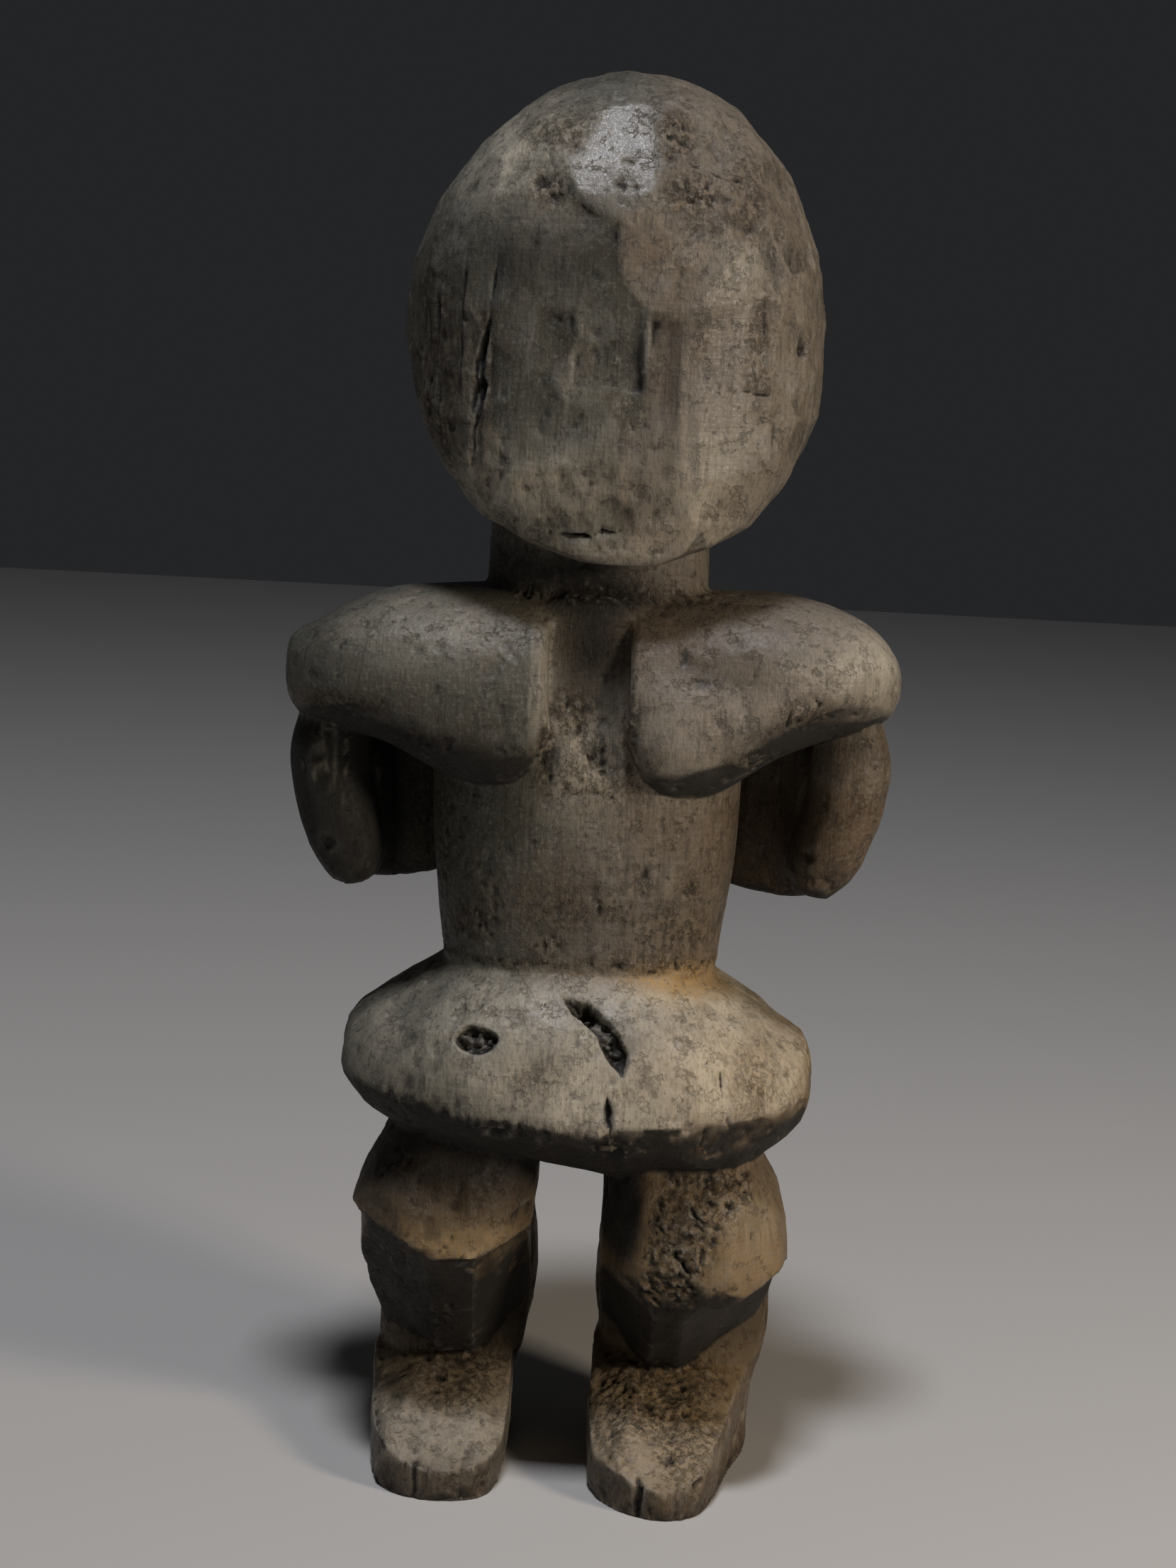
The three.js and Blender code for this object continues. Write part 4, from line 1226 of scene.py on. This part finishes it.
# soft balls of painted shade, with some patina: under the chin, in the channel, under the breasts, in the
# armpits, on the inner forearms and the right thigh, and darker patches on the face, the crown and the belly
soot_and_painted_shade += balls((
    ((-24, -56, 414), (24, 14, 15), 0.6), ((-56, -36, 386), (13, 24, 36), 0.35),
    ((0, -38, 291), (13, 9, 22), 1.0), ((-10, -30, 316), (38, 30, 7), 0.8),
    ((-66, -40, 256), (36, 30, 12), 0.6), ((-42, -50, 250), (32, 16, 9), 0.9),
    ((86, -36, 262), (20, 24, 9), 0.8), ((-50, -30, 216), (16, 20, 34), 0.22),
    ((17, -40, 98), (9, 24, 26), 0.9), ((0, -40, 198), (50, 12, 12), 0.25),
    ((-20, -40, 212), (24, 10, 22), 0.1), ((64, -46, 262), (14, 20, 7), 0.7),
    ((44, -40, 290), (24, 16, 12), 0.25), ((-20, -56, 364), (10, 14, 16), 0.22),
    ((35, -54, 380), (12, 14, 18), 0.18), ((34, -36, 446), (18, 22, 14), 0.2),
    ((2, -32, 307), (34, 16, 5), 0.75), ((66, -4, 222), (18, 22, 30), 0.9),
    ((-66, -4, 222), (18, 22, 30), 0.9), ((38, -50, 94), (11, 14, 24), 0.5),
))
soot_and_painted_shade = np.clip(soot_and_painted_shade, 0, 1) * (1 - 0.6 * scratch)

for name, values in (
    ("dry_and_painted_light", dry_and_painted_light), ("earth", earth), ("polish_and_sheen", polish_and_sheen), ("dust", dust), ("pale", pale), ("soot_and_painted_shade", soot_and_painted_shade),
):
    keep(name, np.clip(values, 0, 1))


# Weathered hardwood, cut with an adze and never varnished: a dark grey-green patina on the left, drier and
# warmer at the right, partly as painted light, soft and fibrous along the grain, darkened in its hollows and
# undersides, partly as painted shade, and half glossy where hands have worn it, with a painted sheen. Its
# feet are dry and pale, their tops partly painted light.
DARK_PATINA = "#4b4a40"
DRY_AND_LIT_WOOD = "#72685a"
EARTH_WOOD = "#5c482f"
PALE_WOOD = "#bfb5a0"
BROWN_WOOD = "#564634"
DARK_WOOD = "#26231d"
SOOT_AND_SHADE = "#14120e"
HOLLOW_WOOD = "#14100c"
TORN_WOOD = "#66553c"
WORN_AND_LIT_WOOD = "#86837b"
OCHRE_DUST = "#a38452"
WOOD_IOR = 1.4

wood, tree = new_material("weathered_wood")
at = add(tree, "ShaderNodeTexCoord").outputs["Object"]

# Patterns in the wood, each with the size of its grains in millimetres, how much longer they are along x, y
# and z, their turn, their detail and its roughness. The grain, the flakes and the crumbs are drawn up to
# twice as coarse as the real ones, so that they show.
patterns = {}
for name, size, stretch, turn, detail, rough in (
    ("patches", 22, (1, 1, 1.6), (0, 0, 0), 7, 0.68),
    ("clouds", 6, (1, 1, 1.5), (0, 0, 0), 6, 0.70),
    ("grain", 0.9, (1, 1, 16), (0, 0, 0), 3, 0.55),
    ("streaks", 2.6, (1, 1, 9), (0, 0, 0), 4, 0.60),
    ("speckle", 1.5, (1, 1, 1), (0, 0, 0), 3, 0.70),
    ("scrapes", 1.2, (14, 14, 1), (0.5, 0.6, 0.2), 2, 0.55),
    ("flakes", 5.5, (1.2, 1.2, 1), (0, 0, 0), 7, 0.66),
    ("suede", 1.2, (1, 1, 1.8), (0, 0, 0), 4, 0.60),
    ("crumbs", 2.2, (1, 1, 1.5), (0, 0, 0), 5, 0.68),
):
    scale = [1 / (size * MILLIMETRE * s) for s in stretch]
    placed = add(tree, "ShaderNodeMapping", {"Vector": at, "Rotation": turn, "Scale": scale})
    keys = {"Vector": placed.outputs[0], "Scale": 1.0, "Detail": detail, "Roughness": rough}
    patterns[name] = add(tree, "ShaderNodeTexNoise", keys).outputs["Fac"]
for name in (
    "dry_and_painted_light", "earth", "polish_and_sheen", "dust", "pale", "soot_and_painted_shade", "torn", "crack", "hollow", "broad_hollow", "arris",
    "facet_tone",
):
    patterns[name] = add(tree, "ShaderNodeAttribute", attribute_name=name).outputs["Fac"]

# Torn wood is crumbs with gaps between them; elsewhere there are none. The gaps are painted darker, as
# painted shade between the crumbs.
keys = {"Value": patterns["crumbs"], "From Min": 0.50, "From Max": 0.42, "To Min": 0.0, "To Max": 1.0}
gaps = add(tree, "ShaderNodeMapRange", keys).outputs["Result"]
keys = {0: gaps, 1: patterns["torn"]}
patterns["crumb_gaps"] = add(tree, "ShaderNodeMath", keys, operation="MULTIPLY").outputs[0]

# Colour, from the broad patches down to the fine marks: what each layer follows, the values between which
# it comes in, how strong it gets, its colour, and the pattern that breaks it up. Painted light is in the dry,
# pale and polish layers and on the light side of the facet tone; painted shade is on its dark side and in
# the crumb gaps, the soot, the hollows and the cracks. Most of these are partly the wood's own colour too.
colour = srgb(DARK_PATINA)
for name, low, high, most, tint, broken_by in (
    ("dry_and_painted_light", 0, 1, 1.0, DRY_AND_LIT_WOOD, None),
    ("patches", 0.50, 0.58, 0.35, BROWN_WOOD, "clouds"),
    ("earth", 0, 1, 0.85, EARTH_WOOD, None),
    ("pale", 0, 1, 0.95, PALE_WOOD, "patches"),
    ("facet_tone", 0.50, 0.80, 0.60, DARK_WOOD, "clouds"),
    ("facet_tone", 0.48, 0.20, 0.36, WORN_AND_LIT_WOOD, "clouds"),
    ("clouds", 0.53, 0.61, 0.30, DARK_WOOD, "streaks"),
    ("streaks", 0.54, 0.68, 0.35, DARK_WOOD, None),
    ("grain", 0.50, 0.64, 0.28, DARK_WOOD, None),
    ("speckle", 0.54, 0.68, 0.32, DARK_WOOD, None),
    ("speckle", 0.46, 0.36, 0.30, WORN_AND_LIT_WOOD, None),
    ("flakes", 0.56, 0.59, 0.16, DARK_WOOD, "streaks"),
    ("polish_and_sheen", 0, 1, 0.60, WORN_AND_LIT_WOOD, "clouds"),
    ("torn", 0, 1, 0.80, TORN_WOOD, "speckle"),
    ("dust", 0, 1, 0.90, OCHRE_DUST, "speckle"),
    ("crumb_gaps", 0, 0.6, 0.50, DARK_WOOD, None),
    ("soot_and_painted_shade", 0, 1, 0.95, SOOT_AND_SHADE, None),
    ("broad_hollow", 0.56, 0.90, 0.6, DARK_WOOD, None),
    ("hollow", 0.58, 0.90, 0.8, HOLLOW_WOOD, None),
    ("crack", 0.30, 0.95, 0.95, HOLLOW_WOOD, None),
    ("arris", 0, 1, 0.50, WORN_AND_LIT_WOOD, "clouds"),
):
    keys = {"Value": patterns[name], "From Min": low, "From Max": high, "To Min": 0.0, "To Max": most}
    share = add(tree, "ShaderNodeMapRange", keys).outputs["Result"]
    if broken_by:
        keys = {
            "Value": patterns[broken_by], "From Min": 0.35, "From Max": 0.60, "To Min": 0.45, "To Max": 1.0,
        }
        holds = add(tree, "ShaderNodeMapRange", keys).outputs["Result"]
        share = add(tree, "ShaderNodeMath", {0: share, 1: holds}, operation="MULTIPLY").outputs[0]
    colour = add(tree, "ShaderNodeMix", {0: share, 6: colour, 7: srgb(tint)}, data_type="RGBA").outputs[2]

# Roughness: half glossy where worn, dull where torn, pale or under the soot and painted shade.
gloss = None
for name, low, high, to_low, to_high in (
    ("polish_and_sheen", 0, 1, 0.50, 0.20),
    ("speckle", 0.4, 0.7, -0.05, 0.16),
    ("torn", 0, 1, 0, 0.22),
    ("pale", 0, 1, 0, 0.12),
    ("soot_and_painted_shade", 0, 1, 0, 0.25),
):
    keys = {"Value": patterns[name], "From Min": low, "From Max": high, "To Min": to_low, "To Max": to_high}
    part = add(tree, "ShaderNodeMapRange", keys).outputs["Result"]
    gloss = add(tree, "ShaderNodeMath", {0: gloss, 1: part}, operation="ADD").outputs[0] if gloss else part

# Relief too fine for the mesh, with the height of each pattern in millimetres.
keys = {"Value": patterns["crumb_gaps"], "From Min": 0.0, "From Max": 0.6, "To Min": 1.0, "To Max": 0.0}
patterns["crumbs"] = add(tree, "ShaderNodeMapRange", keys).outputs["Result"]
keys = {"Value": patterns["flakes"], "From Min": 0.56, "From Max": 0.60, "To Min": 1.0, "To Max": 0.0}
patterns["flakes"] = add(tree, "ShaderNodeMapRange", keys).outputs["Result"]
bump = None
for name, tall in (("grain", 0.16), ("scrapes", 0.15), ("flakes", 0.22), ("suede", 0.28), ("crumbs", 0.50)):
    keys = {"Height": patterns[name], "Distance": tall * MILLIMETRE, "Strength": 1.0}
    if bump:
        keys["Normal"] = bump
    bump = add(tree, "ShaderNodeBump", keys).outputs["Normal"]

shader = add(tree, "ShaderNodeBsdfPrincipled", {
    "Base Color": colour, "Roughness": gloss, "Normal": bump, "IOR": WOOD_IOR,
})
add(tree, "ShaderNodeOutputMaterial", {"Surface": shader.outputs["BSDF"]})
figure.data.materials.clear()
figure.data.materials.append(wood)

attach(figure, "root")
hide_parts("figure")
